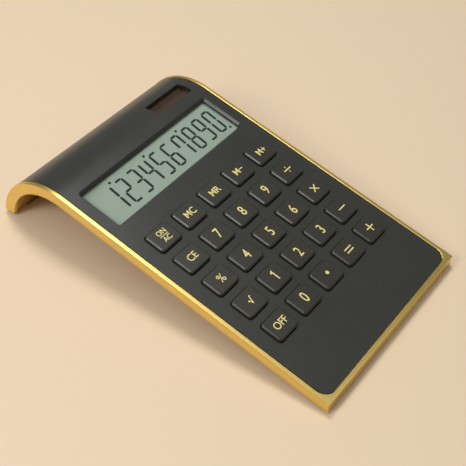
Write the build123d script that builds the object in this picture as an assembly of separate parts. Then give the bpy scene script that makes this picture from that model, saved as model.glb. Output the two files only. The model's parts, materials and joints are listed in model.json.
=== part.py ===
from build123d import *
import os
from math import acos, asin, atan, cos, degrees, radians, sin, sqrt, tan

# Slim desktop calculator. Its body is one long flat slab whose display end rolls over
# into a quarter-round arch and comes down as a leg, so that the keys lean towards the user.
# The centre of the arch lies a little below the foot of the leg, so that the leg leans out.
# Lengths are millimetres and angles are degrees.
#
# Each piece is drawn in a frame of the slab itself: X runs across the body from left to
# right, Y runs along it towards the display with zero where the arch starts, and Z stands
# out of the top face with zero at the top of the rim. A depth is a distance below that top.
# The finished pieces are then tipped onto the table, with the origin of the object on the
# table below the middle of the body.

# Body and stand
arch_radius = 31.4
arch_centre_drop = 1.9
foot_height = 1.3
front_clearance = 0.5039
side_margin = 9.525
front_margin = 11.4
fit_gap = 0.15
overrun = 5.0
same_place = 0.001

# Flats that stand for a small circle and for a small rounded corner
small_sides = 8
corner_flats = 2

# Frame
rim_width = 1.9
frame_depth = 5.6
front_height = 5.3
ledge_width = 1.6
ledge_thickness = 1.2
ridge_chamfer = 0.4
lip_chamfer = 0.2
lower_chamfer = 0.3

# Face panel
panel_sink = 0.2
panel_thickness = 1.4
panel_corner_radius = 5.8
panel_edge_chamfer = 0.25

# Keys
key_pitch_across = 17.5
key_pitch_along = 15.4
key_width = 12.95
key_length = 11.2
key_corner_radius = 1.5
key_rise = 1.6
key_bevel = 0.6
key_side_gap = 0.25
key_rest_gap = 0.1
key_flange_reach = 0.7
key_flange_thickness = 0.6
key_wall = 1.1
key_stem_reach = 2.2
key_travel = 0.8
key_names = [
    ["on_ac", "mc", "mr", "m_minus", "m_plus"],
    ["ce", "7", "8", "9", "divide"],
    ["percent", "4", "5", "6", "multiply"],
    ["square_root", "1", "2", "3", "minus"],
    ["off", "0", "decimal_point", "equals", "plus"],
]

# Rubber key mat and its carbon pills
mat_margin = 1.5
mat_sheet = 0.5
mat_lift_gap = 0.1
dome_roof = 0.3
dome_top_reach = 2.6
dome_base_reach = 4.0
dome_wall = 0.4
pill_reach = 1.8
pill_thickness = 0.2
pill_post = 0.2

# Circuit board and what is soldered to it
board_thickness = 1.0
board_margin = 0.1
board_rear_margin = 5.0
board_front_margin = 3.8
blob_radius = 4.5
blob_height = 0.9
capacitor_width = 1.3
capacitor_length = 2.0
capacitor_height = 0.8
capacitor_pitch = 4.0
diode_width = 1.6
diode_length = 3.4
diode_height = 0.9

# Display
window_side_margin = 8.4
window_rear_gap = 3.7
window_length = 22.5
window_corner_radius = 1.0
window_bevel = 1.05
skirt_wall = 1.0
skirt_drop = 0.7
lens_thickness = 0.8
lens_margin = 1.05
glass_sheet = 0.8
glass_margin = 0.9
glass_end_margin = 0.6
contact_ledge = 2.3
backing_thickness = 0.4
backing_inset = 0.4
ribbon_side_inset = 10.5
ribbon_thickness = 0.15
ribbon_overlap = 2.0

# Solar cell
solar_width = 24.5
solar_length = 9.2
solar_side_margin = 7.3
solar_arc_place = 8.6
solar_corner_radius = 0.8
solar_window_thickness = 0.7
solar_window_margin = 1.2
solar_cell_thickness = 1.0
solar_cell_margin = 0.5
lead_radius = 0.25
lead_spacing = 1.0
lead_side_gap = 0.75
lead_first_run = 1.5
lead_first_bend = 0.7
lead_second_bend = 3.0
lead_third_bend = 1.5
lead_depth = 3.2
lead_dip = 2.0
lead_board_place = 0.9
lead_board_reach = 1.9

# Back cover
cover_wall = 1.1
arch_cover_recess = 0.4
tub_bevel = 1.6
underside_gap = 0.75
tub_end_run = 2.6
tub_end_place = 0.6
rib_thickness = 1.0
rib_height = 1.0
rib_end_gap = 2.0
display_rib_inset = 3.5
display_rib_pitch = 7.5
arch_rib_gap = 0.3
arch_rib_spacing = 25.0
arch_rib_first_angle = 25.0
arch_rib_last_angle = 66.0

# Case screws and board screws
case_screw_radius = 0.7
case_head_radius = 1.4
case_head_height = 1.0
case_screw_length = 3.0
case_boss_radius = 1.7
case_boss_depth = 5.0
case_seat_thickness = 0.6
case_collar_wall = 0.8
case_screw_margin = 2.2
case_rear_inset = 5.1
case_glass_gap = 0.3
case_board_gap = 0.4
case_front_step = 2.0
board_screw_radius = 0.5
board_head_radius = 1.1
board_head_height = 0.6
board_screw_length = 2.2
board_boss_radius = 1.3
thread_gap = 0.02
hole_gap = 0.25

# Button cell and its compartment
cell_radius = 5.8
cell_height = 3.05
cell_gap = 0.3
cell_edge = 0.3
cell_board_gap = 0.8
cell_floor_gap = 1.0
well_wall = 1.0
contact_strip = 0.15
contact_panel_gap = 0.3
contact_pad_radius = 3.2
contact_tail_width = 3.0
contact_tail_gap = 0.6
contact_foot_reach = 1.4
leaf_gap = 0.05
leaf_length = 6.0
leaf_width = 1.4
leaf_drop = 0.55
leaf_foot_width = 2.0
door_near_margin = 1.1
door_far_margin = 2.8
door_end_margin = 0.8
door_corner_radius = 2.0
door_ledge_width = 1.2
door_ledge_thickness = 0.8
door_tab_reach = 1.0
door_tab_length = 3.6
door_tab_thickness = 0.6
door_tab_offset = 3.6
door_boss_gap = 2.6
door_boss_radius = 1.7
door_boss_depth = 3.2
door_head_height = 0.6
door_screw_length = 2.8

# Rubber feet
front_foot_radius = 4.0
front_foot_side_inset = 13.0
front_foot_end_inset = 10.0
foot_recess = 0.5
foot_boss_wall = 1.0
rear_foot_length = 14.0
rear_foot_width = 3.2
rear_foot_side_inset = 15.0

# Depths of the stack under the rim, from the top down
panel_bottom = panel_sink + panel_thickness
ledge_bottom = panel_bottom + ledge_thickness
key_top = key_rise - panel_sink
flange_top = panel_bottom + key_rest_gap
flange_bottom = flange_top + key_flange_thickness
dome_top = flange_bottom + mat_lift_gap
pill_top = dome_top + dome_roof + pill_post
pill_bottom = pill_top + pill_thickness
board_top = pill_bottom + key_travel
board_bottom = board_top + board_thickness
mat_top = board_top - mat_sheet
skirt_bottom = panel_bottom + skirt_drop
lens_bottom = skirt_bottom + lens_thickness
upper_glass_bottom = lens_bottom + glass_sheet
lower_glass_bottom = upper_glass_bottom + glass_sheet
backing_bottom = lower_glass_bottom + backing_thickness
cell_depth = panel_bottom + contact_panel_gap + contact_strip
tub_floor = max(backing_bottom + rib_height, cell_depth + cell_height + cell_floor_gap)
tub_depth = tub_floor + cover_wall
below_tub = tub_depth + overrun
arch_cover_depth = frame_depth - arch_cover_recess
leaf_top = cell_depth + leaf_drop
leaf_bottom = leaf_top + leaf_width
case_head_depth = case_boss_depth + case_seat_thickness

# Places along the slab, from the display to the front
window_front_edge = window_rear_gap + window_length
window_centre = window_rear_gap + window_length / 2
upper_glass_front = -window_front_edge - glass_end_margin
lower_glass_front = upper_glass_front - contact_ledge
glass_rear = glass_end_margin - window_rear_gap
case_rear_place = case_glass_gap + case_boss_radius - lower_glass_front
board_rear_edge = case_rear_place + case_boss_radius + case_board_gap
first_row_offset = board_rear_edge + board_rear_margin + key_length / 2
last_row_offset = first_row_offset + (len(key_names) - 1) * key_pitch_along
middle_row = -(first_row_offset + last_row_offset) / 2
board_front_edge = last_row_offset + key_length / 2 + board_front_margin
case_front_place = board_front_edge + case_front_step
contact_tail_place = board_front_edge + contact_tail_gap
contact_foot_end = board_front_edge - contact_foot_reach
well_radius = cell_radius + cell_gap + well_wall
cell_place = board_front_edge + cell_board_gap + well_radius
door_tab_place = cell_place - door_tab_offset
straight_length = cell_place + well_radius + front_margin
cover_front = straight_length - rim_width - fit_gap
front_foot_place = straight_length - front_foot_end_inset

# Places across the body
body_width = (len(key_names[0]) - 1) * key_pitch_across + key_width + 2 * side_margin
half_width = body_width / 2
wall_face = half_width - rim_width
cover_half_width = wall_face - fit_gap
window_width = body_width - 2 * window_side_margin
solar_centre_across = half_width - solar_side_margin - solar_width / 2
board_half_width = half_width - side_margin + key_flange_reach + board_margin
case_across = board_half_width + case_screw_margin
door_screw_across = well_radius + door_boss_gap + door_boss_radius
door_near_edge = well_radius + door_near_margin
door_far_edge = door_screw_across + door_far_margin
door_half_length = well_radius + door_end_margin
front_foot_across = half_width - front_foot_side_inset
rear_foot_across = half_width - rear_foot_side_inset
head_hole_radius = case_head_radius + hole_gap
shank_hole_radius = case_screw_radius + hole_gap

# Lean of the slab, from the height of the arch at one end and of the front wall at the other
arch_centre_height = foot_height - arch_centre_drop
crest_rise = front_clearance + front_height - arch_centre_height
lean_reach = sqrt(arch_radius ** 2 + straight_length ** 2)
tilt = acos(crest_rise / lean_reach) - atan(straight_length / arch_radius)
stand_tilt = degrees(tilt)
front_depth = front_height * cos(tilt)
front_reach = straight_length * cos(tilt) + arch_radius * sin(tilt)
leg_end_angle = degrees(asin(arch_centre_drop / arch_radius))
leg_foot_reach = arch_radius * cos(radians(leg_end_angle))
arch_centre_y = (front_reach - leg_foot_reach) / 2
underside_rise = underside_gap - arch_centre_height
underside_bend = (underside_rise - (arch_radius - tub_depth) * cos(tilt)) / sin(tilt)
tub_end_slope = (tub_depth - arch_cover_depth) / tub_end_run
to_arch = Pos(0, arch_centre_y, arch_centre_height)
on_table = to_arch * Rot(stand_tilt, 0, 0) * Pos(0, 0, arch_radius)

# Seat of the solar window, a flat plate inside the curve of the panel
solar_angle = degrees(solar_arc_place / arch_radius)
solar_plate_length = solar_length + 2 * solar_window_margin
solar_plate_top = arch_radius - sqrt((arch_radius - panel_bottom) ** 2 - (solar_plate_length / 2) ** 2)
solar_plate_bottom = solar_plate_top + solar_window_thickness
to_solar = Pos(0, 0, -arch_radius) * Rot(-solar_angle, 0, 0) * Pos(0, 0, arch_radius)


def slab(width, length, radius, upper, lower):
    """Plate with rounded corners between two depths, each corner drawn with a few flats."""
    points = []
    for corner, (side, end) in enumerate(((1, 1), (-1, 1), (-1, -1), (1, -1))):
        for step in range(corner_flats + 1):
            turn = radians(90 * (corner + step / corner_flats))
            across = side * (width / 2 - radius) + radius * cos(turn)
            along = end * (length / 2 - radius) + radius * sin(turn)
            points.append((across, along))
    outline = make_face(Polyline(*points, close=True))
    return Pos(0, 0, -lower) * extrude(outline, amount=lower - upper)


def block(left, right, front, rear, upper, lower):
    """Plain block given by its sides, its ends and two depths."""
    outline = Pos((left + right) / 2, (front + rear) / 2) * Rectangle(right - left, rear - front)
    return Pos(0, 0, -lower) * extrude(outline, amount=lower - upper)


def disc(radius, upper, lower):
    """Round plate between two depths."""
    return Pos(0, 0, -lower) * extrude(Circle(radius), amount=lower - upper)


def peg(radius, upper, lower):
    """Small round solid between two depths, drawn with a few flats."""
    return Pos(0, 0, -lower) * extrude(RegularPolygon(radius, small_sides), amount=lower - upper)


def square_peg(reach, upper, lower):
    """Square solid between two depths."""
    return block(-reach, reach, -reach, reach, upper, lower)


def pyramid(base, top, rise, lower):
    """Square block that narrows upwards from a depth."""
    lean = degrees(atan((base - top) / rise))
    return Pos(0, 0, -lower) * extrude(Rectangle(2 * base, 2 * base), amount=rise, taper=lean)


def on_arch(depth, angle):
    """Point of the side view on the arch, at a depth and an angle from the table."""
    turned = radians(angle - stand_tilt)
    radius = arch_radius - depth
    return (radius * cos(turned), radius * sin(turned) - arch_radius)


def arch_arc(depth, first, last):
    """Arc of the side view between two angles from the table."""
    return ThreePointArc(on_arch(depth, first), on_arch(depth, (first + last) / 2), on_arch(depth, last))


def side_prism(edges, reach):
    """Side view drawn out to both sides of the middle plane."""
    outline = make_face([Plane.YZ * edge for edge in edges])
    return extrude(outline, amount=reach, both=True)


def band(upper, lower, front, tail, reach, front_lower=None):
    """Layer between two depths, straight along the slab and then round the arch.

    The layer stops at the length tail, measured along the top, short of the foot of the leg.
    With a lower depth of its own at the front, its front end stands upright on the table.
    """
    top_angle = 90 + stand_tilt
    end_angle = leg_end_angle + degrees(tail / arch_radius)
    front_low = lower if front_lower is None else front_lower
    low_front = front if front_lower is None else front + (front_low - upper) * tan(tilt)
    edges = [
        Line((-front, -upper), (0, -upper)),
        arch_arc(upper, top_angle, end_angle),
        Line(on_arch(upper, end_angle), on_arch(lower, end_angle)),
        arch_arc(lower, end_angle, top_angle),
        Line((0, -lower), (-low_front, -front_low)),
        Line((-low_front, -front_low), (-front, -upper)),
    ]
    return side_prism(edges, reach)


def depth_of(point):
    """Depth of a point below the top of the rim, on the slab or round the arch."""
    if point.Y <= 0:
        return -point.Z
    return arch_radius - sqrt(point.Y ** 2 + (point.Z + arch_radius) ** 2)


def is_seam(edge):
    """Whether an edge is the line across the body where the arch starts."""
    return all(abs(point.Y) < same_place for point in (edge @ 0, edge @ 0.5, edge @ 1))


def edges_at_depth(solid, depth, reach):
    """Edges that lie at one depth, on the sides at one reach or on the ends between them."""
    found = []
    for edge in solid.edges():
        points = [edge @ 0, edge @ 0.5, edge @ 1]
        if any(abs(depth_of(point) - depth) > same_place for point in points):
            continue
        if is_seam(edge):
            continue
        if any(abs(point.X) > reach + same_place for point in points):
            continue
        found.append(edge)
    return found


def corner_edges(solid, reach):
    """Edges that run through the thickness of a layer at its four outer corners."""
    found = []
    for edge in solid.edges():
        first, last = edge @ 0, edge @ 1
        at_side = all(abs(abs(point.X) - reach) < same_place for point in (first, last))
        through = abs(depth_of(first) - depth_of(last)) > same_place
        if at_side and through and abs(first.X - last.X) < same_place:
            found.append(edge)
    return found


def panel_blank(upper, lower, growth):
    """Sheet that fills the rim, with rounded corners, grown by a clearance at its edge."""
    edge_length = rim_width + fit_gap - growth
    reach = half_width - edge_length
    blank = band(upper, lower, straight_length - edge_length, edge_length, reach)
    return fillet(corner_edges(blank, reach), radius=panel_corner_radius + growth)


def key_places():
    """Name and centre of every key, row by row from the display."""
    places = []
    for row, names in enumerate(key_names):
        for column, name in enumerate(names):
            across = (column - (len(names) - 1) / 2) * key_pitch_across
            along = -first_row_offset - row * key_pitch_along
            places.append((name, across, along))
    return places


def case_screw_places():
    """Centres of the six screws that hold the back cover to the face panel."""
    rear_across = case_across - case_rear_inset
    return [
        (side * across, -along)
        for across, along in (
            (rear_across, case_rear_place),
            (case_across, -middle_row),
            (case_across, case_front_place),
        )
        for side in (-1, 1)
    ]


def board_screw_places():
    """Centres of the four screws that hold the circuit board, each between four keys."""
    across = 1.5 * key_pitch_across
    places = [-first_row_offset - row * key_pitch_along for row in (0.5, 3.5)]
    return [(side * across, along) for along in places for side in (-1, 1)]


def from_table(solid):
    """The same solid in the frame of the slab."""
    return on_table.inverse() * solid


def rear_foot_solid(across, growth):
    """Rubber pad in the foot of the leg, standing on the table."""
    middle = arch_centre_y + leg_foot_reach - frame_depth / 2
    outline = SlotOverall(rear_foot_length + 2 * growth, rear_foot_width + 2 * growth)
    return Pos(across, middle, 0) * extrude(outline, amount=foot_height + foot_recess + growth)


def front_foot_solid(across, growth, wall=0):
    """Round rubber foot under the front of the back cover, standing on the table."""
    along = arch_centre_y - front_foot_place * cos(tilt) - (arch_radius - front_depth) * sin(tilt)
    outline = Circle(front_foot_radius + growth + wall)
    return Pos(across, along, 0) * extrude(outline, amount=underside_gap + foot_recess + growth + wall)


def window_edges(panel):
    """Upper edges of the display window in the face panel."""
    side = window_width / 2 + same_place
    end = window_length / 2 + same_place
    found = []
    for edge in edges_at_depth(panel, panel_sink, side):
        if all(abs(point.Y + window_centre) < end for point in (edge @ 0, edge @ 1)):
            found.append(edge)
    return found


def make_frame():
    """Rim, side walls, front wall and foot of the leg in one ring, with a ledge for the panel."""
    tail = -arch_radius * radians(leg_end_angle)
    ring = band(0, frame_depth, straight_length, tail, half_width, front_depth)
    below_leg = Rectangle(body_width + overrun, 2 * frame_depth + overrun)
    below_leg = extrude(below_leg, amount=-arch_centre_drop - overrun)
    ring -= from_table(Pos(0, arch_centre_y + leg_foot_reach, foot_height) * below_leg)
    lower = [
        edge
        for edge in ring.edges()
        if min(depth_of(edge @ 0), depth_of(edge @ 1)) > front_depth - fit_gap and not is_seam(edge)
    ]
    ring = chamfer(lower, length=lower_chamfer)
    ring = chamfer(edges_at_depth(ring, 0, half_width), length=ridge_chamfer)
    inner_edge = rim_width + ledge_width
    deep = frame_depth + overrun
    ring -= panel_blank(-overrun, panel_bottom, fit_gap)
    ring -= band(-overrun, deep, straight_length - inner_edge, inner_edge, half_width - inner_edge)
    ring -= band(ledge_bottom, deep, straight_length - rim_width, rim_width, wall_face)
    for across in (-rear_foot_across, rear_foot_across):
        ring -= from_table(rear_foot_solid(across, fit_gap))
    return chamfer(edges_at_depth(ring, 0, wall_face), length=lip_chamfer)


def make_face_panel():
    """Face with its key openings, display window and solar window, bent over the arch."""
    panel = panel_blank(panel_sink, panel_bottom, 0)
    reach = wall_face - fit_gap
    panel = chamfer(edges_at_depth(panel, panel_sink, reach), length=panel_edge_chamfer)
    inside = panel_sink + panel_thickness / 2
    skirt = slab(
        window_width + 2 * skirt_wall,
        window_length + 2 * skirt_wall,
        window_corner_radius + skirt_wall,
        inside,
        skirt_bottom,
    )
    panel += Pos(0, -window_centre, 0) * skirt
    for across, along in case_screw_places():
        panel += Pos(across, along, 0) * peg(case_boss_radius, inside, case_boss_depth)
        bore = peg(case_screw_radius + thread_gap, panel_bottom + hole_gap, case_boss_depth)
        panel -= Pos(across, along, 0) * bore
    for across, along in board_screw_places():
        panel += Pos(across, along, 0) * peg(board_boss_radius, inside, board_top)
        bore = peg(board_screw_radius + thread_gap, panel_bottom + hole_gap, board_top)
        panel -= Pos(across, along, 0) * bore
    window = slab(window_width, window_length, window_corner_radius, -overrun, skirt_bottom)
    panel -= Pos(0, -window_centre, 0) * window
    panel = chamfer(window_edges(panel), length=window_bevel)
    hole = slab(
        key_width + 2 * key_side_gap,
        key_length + 2 * key_side_gap,
        key_corner_radius + key_side_gap,
        -overrun,
        flange_bottom,
    )
    panel -= [Pos(across, along, 0) * hole for name, across, along in key_places()]
    opening = slab(solar_width, solar_length, solar_corner_radius, -overrun, skirt_bottom)
    return panel - to_solar * Pos(solar_centre_across, 0, 0) * opening


def make_keycap():
    """Keycap with a bevelled top, a flange that keeps it in and a hollow round its stem."""
    cap = slab(key_width, key_length, key_corner_radius, -key_top, flange_bottom)
    cap = chamfer(cap.faces().sort_by(Axis.Z)[-1].edges(), length=key_bevel)
    flange_side = key_width / 2 + key_flange_reach
    flange_end = key_length / 2 + key_flange_reach
    cap += block(-flange_side, flange_side, -flange_end, flange_end, flange_top, flange_bottom)
    side = key_width / 2 - key_wall
    end = key_length / 2 - key_wall
    roof = key_wall - key_top
    hollow = block(-side, side, -end, end, roof, flange_bottom)
    return cap - (hollow - square_peg(key_stem_reach, roof, flange_bottom))


def make_key_mat():
    """Rubber sheet with a hollow dome and a post under every key."""
    places = key_places()
    rear = -first_row_offset + key_length / 2 + mat_margin
    front = places[-1][2] - key_length / 2 - mat_margin
    mat = block(-board_half_width, board_half_width, front, rear, mat_top, board_top)
    roof = dome_top + dome_roof
    outside = pyramid(dome_base_reach, dome_top_reach, mat_top - dome_top, mat_top)
    inner_base = dome_base_reach - dome_wall
    inner_top = dome_top_reach - dome_wall
    hollow = pyramid(inner_base, inner_top, board_top - roof, board_top)
    post = square_peg(pill_reach, roof, pill_top)
    mat += [Pos(across, along, 0) * outside for name, across, along in places]
    mat -= [Pos(across, along, 0) * (hollow - post) for name, across, along in places]
    hole = peg(board_boss_radius + hole_gap, mat_top, board_top)
    return mat - [Pos(across, along, 0) * hole for across, along in board_screw_places()]


def make_contact_pills():
    """Carbon pill under every dome."""
    pill = square_peg(pill_reach, pill_top, pill_bottom)
    return [Pos(across, along, 0) * pill for name, across, along in key_places()]


def make_circuit_board():
    """Board under the mat, with a hole for each of its screws."""
    reach = board_half_width
    board = block(-reach, reach, -board_front_edge, -board_rear_edge, board_top, board_bottom)
    hole = peg(board_screw_radius + hole_gap, board_top, board_bottom)
    return board - [Pos(across, along, 0) * hole for across, along in board_screw_places()]


def make_chip_blob():
    """Cap of black resin over the chip, on the underside of the board."""
    blob = peg(blob_radius, board_bottom, board_bottom + blob_height)
    rim = blob.faces().sort_by(Axis.Z)[0].edges()
    blob = chamfer(rim, length=blob_height / 2, length2=blob_radius / 2)
    return Pos(key_pitch_across / 2, middle_row, 0) * blob


def make_capacitors():
    """Three chip capacitors in a row on the underside of the board."""
    half = capacitor_width / 2
    long_half = capacitor_length / 2
    body = block(-half, half, -long_half, long_half, board_bottom, board_bottom + capacitor_height)
    row = (-1, 0, 1)
    return [Pos(-key_pitch_across / 2, middle_row + step * capacitor_pitch, 0) * body for step in row]


def make_diode():
    """Small diode that holds the voltage of the solar cell down."""
    half = diode_width / 2
    long_half = diode_length / 2
    body = block(-half, half, -long_half, long_half, board_bottom, board_bottom + diode_height)
    across = 1.5 * key_pitch_across
    return Pos(across, middle_row, 0) * chamfer(body.edges().filter_by(Axis.Y), length=diode_height / 4)


def make_display_lens():
    """Clear plate under the display window."""
    width = window_width + 2 * lens_margin
    length = window_length + 2 * lens_margin
    plate = slab(width, length, window_corner_radius + lens_margin, skirt_bottom, lens_bottom)
    return Pos(0, -window_centre, 0) * plate


def make_lcd_glass():
    """Two sheets of glass, the lower one longer so that its contacts lie open."""
    reach = window_width / 2 + glass_margin
    upper = block(-reach, reach, upper_glass_front, glass_rear, lens_bottom, upper_glass_bottom)
    lower = block(-reach, reach, lower_glass_front, glass_rear, upper_glass_bottom, lower_glass_bottom)
    return upper + lower


def make_lcd_backing():
    """Soft pale sheet that presses the glass against its lens."""
    reach = window_width / 2 + glass_margin - backing_inset
    front = upper_glass_front + backing_inset
    return block(-reach, reach, front, glass_rear - backing_inset, lower_glass_bottom, backing_bottom)


def make_lcd_ribbon():
    """Flat printed ribbon from the contacts of the glass to the board."""
    reach = window_width / 2 - ribbon_side_inset
    front = -board_rear_edge - ribbon_overlap
    rear = upper_glass_front - fit_gap
    return block(-reach, reach, front, rear, board_top - ribbon_thickness, board_top)


def make_solar_window():
    """Clear plate whose long edges rest inside the curve of the panel."""
    width = solar_width + 2 * solar_window_margin
    radius = solar_corner_radius + solar_window_margin
    plate = slab(width, solar_plate_length, radius, solar_plate_top, solar_plate_bottom)
    return to_solar * Pos(solar_centre_across, 0, 0) * plate


def make_solar_cell():
    """Thin solar cell under its window."""
    reach = solar_width / 2 + solar_cell_margin
    half = solar_length / 2 + solar_cell_margin
    cell_bottom = solar_plate_bottom + solar_cell_thickness
    cell = block(-reach, reach, -half, half, solar_plate_bottom, cell_bottom)
    return to_solar * Pos(solar_centre_across, 0, 0) * cell


def make_solar_lead(order):
    """Insulated wire from the end of the solar cell, past the display, to the board."""
    cell_end = solar_centre_across + solar_width / 2 + solar_cell_margin
    clear_side = max(window_width / 2 + lens_margin + lead_side_gap, cell_end + lead_first_run)
    side = clear_side + order * lead_spacing
    shift = (order - 0.5) * lead_spacing
    board_place = -board_rear_edge - lead_board_place - order * lead_spacing
    height = lead_radius - board_top
    start = (to_solar * Pos(cell_end, shift, -lead_depth)).position
    turn = (to_solar * Pos(side, shift, -lead_depth)).position
    route = FilletPolyline(
        start,
        turn,
        (side, -lead_dip, height),
        (side, board_place, height),
        (board_half_width - lead_board_reach, board_place, height),
        radius=[lead_first_bend, lead_second_bend, lead_third_bend],
    )
    section = Plane(origin=route @ 0, z_dir=route % 0) * RegularPolygon(lead_radius, small_sides // 2)
    return sweep(section, path=route)


def cover_solid(lift, top, reach):
    """Body above the underside of the back cover, raised by a wall thickness.

    From the front the underside runs level with the table, then level with the slab,
    steps up behind the display and follows the arch down the leg.
    """
    front = lift - cover_front
    bend = underside_bend + lift * tan(tilt / 2)
    back = tub_end_place + lift * tan(atan(tub_end_slope) / 2)
    tub = lift - tub_depth
    arch = arch_cover_depth - lift
    top_angle = 90 + stand_tilt
    end_angle = leg_end_angle + degrees((rim_width + fit_gap + lift) / arch_radius)
    edges = [
        Line((front, -top), (0, -top)),
        arch_arc(top, top_angle, end_angle),
        Line(on_arch(top, end_angle), on_arch(arch, end_angle)),
        arch_arc(arch, end_angle, top_angle),
        Line((0, -arch), (-back, -arch)),
        Line((-back, -arch), (-back - tub_end_run, tub)),
        Line((-back - tub_end_run, tub), (bend, tub)),
        Line((bend, tub), (front, tub + (bend - front) * tan(tilt))),
        Line((front, tub + (bend - front) * tan(tilt)), (front, -top)),
    ]
    body = side_prism(edges, reach)
    inset = lift * sqrt(2)
    for side in (-1, 1):
        high = (side * (cover_half_width + overrun - inset), tub_bevel - tub_depth + overrun)
        low = (side * (cover_half_width - tub_bevel - overrun - inset), -tub_depth - overrun)
        wedge = make_face(Plane.XZ * Polyline(high, low, (high[0], low[1]), close=True))
        body -= Pos(0, -tub_end_place, 0) * extrude(wedge, amount=straight_length, dir=(0, -1, 0))
    return body


def door_prism(growth):
    """Upright prism on the outline of the battery door."""
    width = door_near_edge + door_far_edge + 2 * growth
    length = 2 * (door_half_length + growth)
    middle = (door_far_edge - door_near_edge) / 2
    prism = slab(width, length, door_corner_radius + growth, 0, below_tub)
    return Pos(middle, -cell_place, 0) * prism


def door_tab(growth):
    """Tongue of the battery door that slips under the edge of the back cover."""
    half = door_tab_length / 2 + growth
    reach = door_near_edge + door_tab_reach + growth
    lower = tub_floor + fit_gap
    upper = lower - door_tab_thickness - growth
    root = door_tab_reach - door_near_edge
    return block(-reach, root, -door_tab_place - half, half - door_tab_place, upper, lower)


def make_back_cover():
    """Back cover with its tub, ribs, screw collars, battery well and the liner of the arch."""
    outside = cover_solid(0, ledge_bottom, cover_half_width)
    inside = cover_solid(cover_wall, ledge_bottom - overrun, cover_half_width - cover_wall)
    cover = outside - inside
    half_rib = rib_thickness / 2
    low = tub_floor + cover_wall / 2
    for step in (-1, 0, 1):
        along = -window_centre + step * display_rib_pitch
        reach = window_width / 2 - display_rib_inset
        cover += block(-reach, reach, along - half_rib, along + half_rib, backing_bottom, low)
    for column in (-2, -1, 1, 2):
        across = column * key_pitch_across
        front = rib_end_gap - board_front_edge
        rear = -board_rear_edge - rib_end_gap
        cover += block(across - half_rib, across + half_rib, front, rear, board_bottom, low)
    for across in (-arch_rib_spacing, 0):
        cover += Pos(across, 0, 0) * arch_rib()
    for across, along in case_screw_places():
        place = Pos(across, along, 0)
        cover += place * peg(head_hole_radius + case_collar_wall, case_boss_depth, low)
        cover -= place * peg(head_hole_radius, case_head_depth, below_tub)
        cover -= place * peg(shank_hole_radius, case_boss_depth, case_head_depth)
    for across in (-front_foot_across, front_foot_across):
        cover += from_table(front_foot_solid(across, fit_gap, foot_boss_wall)) & outside
        cover -= from_table(front_foot_solid(across, fit_gap))
    return cut_battery_well(cover, inside)


def arch_rib():
    """Stiffening rib that stands inside the arch."""
    upper = panel_bottom + arch_rib_gap
    lower = arch_cover_depth - cover_wall / 2
    first, last = arch_rib_first_angle, arch_rib_last_angle
    edges = [
        arch_arc(upper, last, first),
        Line(on_arch(upper, first), on_arch(lower, first)),
        arch_arc(lower, first, last),
        Line(on_arch(lower, last), on_arch(upper, last)),
    ]
    return side_prism(edges, rib_thickness / 2)


def cut_battery_well(cover, inside):
    """Cover with the door opening, the ledge behind it and the ring round the button cell."""
    cover -= door_prism(fit_gap)
    reach = cover_half_width - cover_wall
    shelf = cover_solid(cover_wall + door_ledge_thickness, ledge_bottom - overrun, reach)
    cover += (inside - shelf) & door_prism(door_ledge_width)
    centre = Pos(0, -cell_place, 0)
    cover += centre * disc(well_radius, cell_depth, tub_depth) & inside
    screw = Pos(door_screw_across, -cell_place, 0)
    cover += screw * peg(door_boss_radius, door_boss_depth, tub_depth) & inside
    cover -= centre * disc(cell_radius + cell_gap, cell_depth, tub_depth)
    cover -= screw * peg(case_screw_radius + thread_gap, door_boss_depth, tub_depth)
    leaf_side = cell_radius + leaf_gap
    ring_end = well_radius - cell_place
    slot_front = -cell_place - leaf_length / 2 - fit_gap
    cover -= block(
        -leaf_side - contact_strip - fit_gap,
        fit_gap - leaf_side,
        slot_front,
        ring_end,
        cell_depth,
        leaf_bottom + fit_gap,
    )
    return cover - door_tab(fit_gap)


def make_battery_door():
    """Small door over the button cell, level with the underside round it."""
    leaf = cover_solid(0, 0, cover_half_width) - cover_solid(cover_wall - fit_gap, 0, cover_half_width)
    door = (leaf & door_prism(0)) + door_tab(0)
    screw = Pos(door_screw_across, -cell_place, 0)
    seat = tub_depth - door_head_height
    door -= screw * peg(head_hole_radius, seat, below_tub)
    return door - screw * peg(shank_hole_radius, 0, seat)


def screw_solid(shank_radius, head_radius, head_top, head_height, length):
    """Pan-head screw driven in from below, its head up against a seat at a given depth."""
    head = peg(head_radius, head_top, head_top + head_height)
    return head + peg(shank_radius, head_top - length, head_top)


def make_case_screws():
    """Six screws of the back cover."""
    length = case_screw_length
    screw = screw_solid(case_screw_radius, case_head_radius, case_head_depth, case_head_height, length)
    return [Pos(across, along, 0) * screw for across, along in case_screw_places()]


def make_board_screws():
    """Four screws of the circuit board."""
    length = board_screw_length
    head = board_head_height
    screw = screw_solid(board_screw_radius, board_head_radius, board_bottom, head, length)
    return [Pos(across, along, 0) * screw for across, along in board_screw_places()]


def make_door_screw():
    """Screw of the battery door."""
    seat = tub_depth - door_head_height
    screw = screw_solid(case_screw_radius, case_head_radius, seat, door_head_height, door_screw_length)
    return Pos(door_screw_across, -cell_place, 0) * screw


def make_battery_cell():
    """Button cell with rounded edges."""
    cell = disc(cell_radius, cell_depth, cell_depth + cell_height)
    return Pos(0, -cell_place, 0) * chamfer(cell.edges().filter_by(GeomType.CIRCLE), length=cell_edge)


def make_negative_contact():
    """Sprung strip that lies on the top of the cell and steps down to the board."""
    half = contact_tail_width / 2
    high = cell_depth - contact_strip
    step_front = -contact_tail_place
    strip = Pos(0, -cell_place, 0) * disc(contact_pad_radius, high, cell_depth)
    strip += block(-half, half, -cell_place, step_front + contact_strip, high, cell_depth)
    strip += block(-half, half, step_front, step_front + contact_strip, high, board_top)
    foot_top = board_top - contact_strip
    return strip + block(-half, half, step_front, -contact_foot_end, foot_top, board_top)


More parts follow.
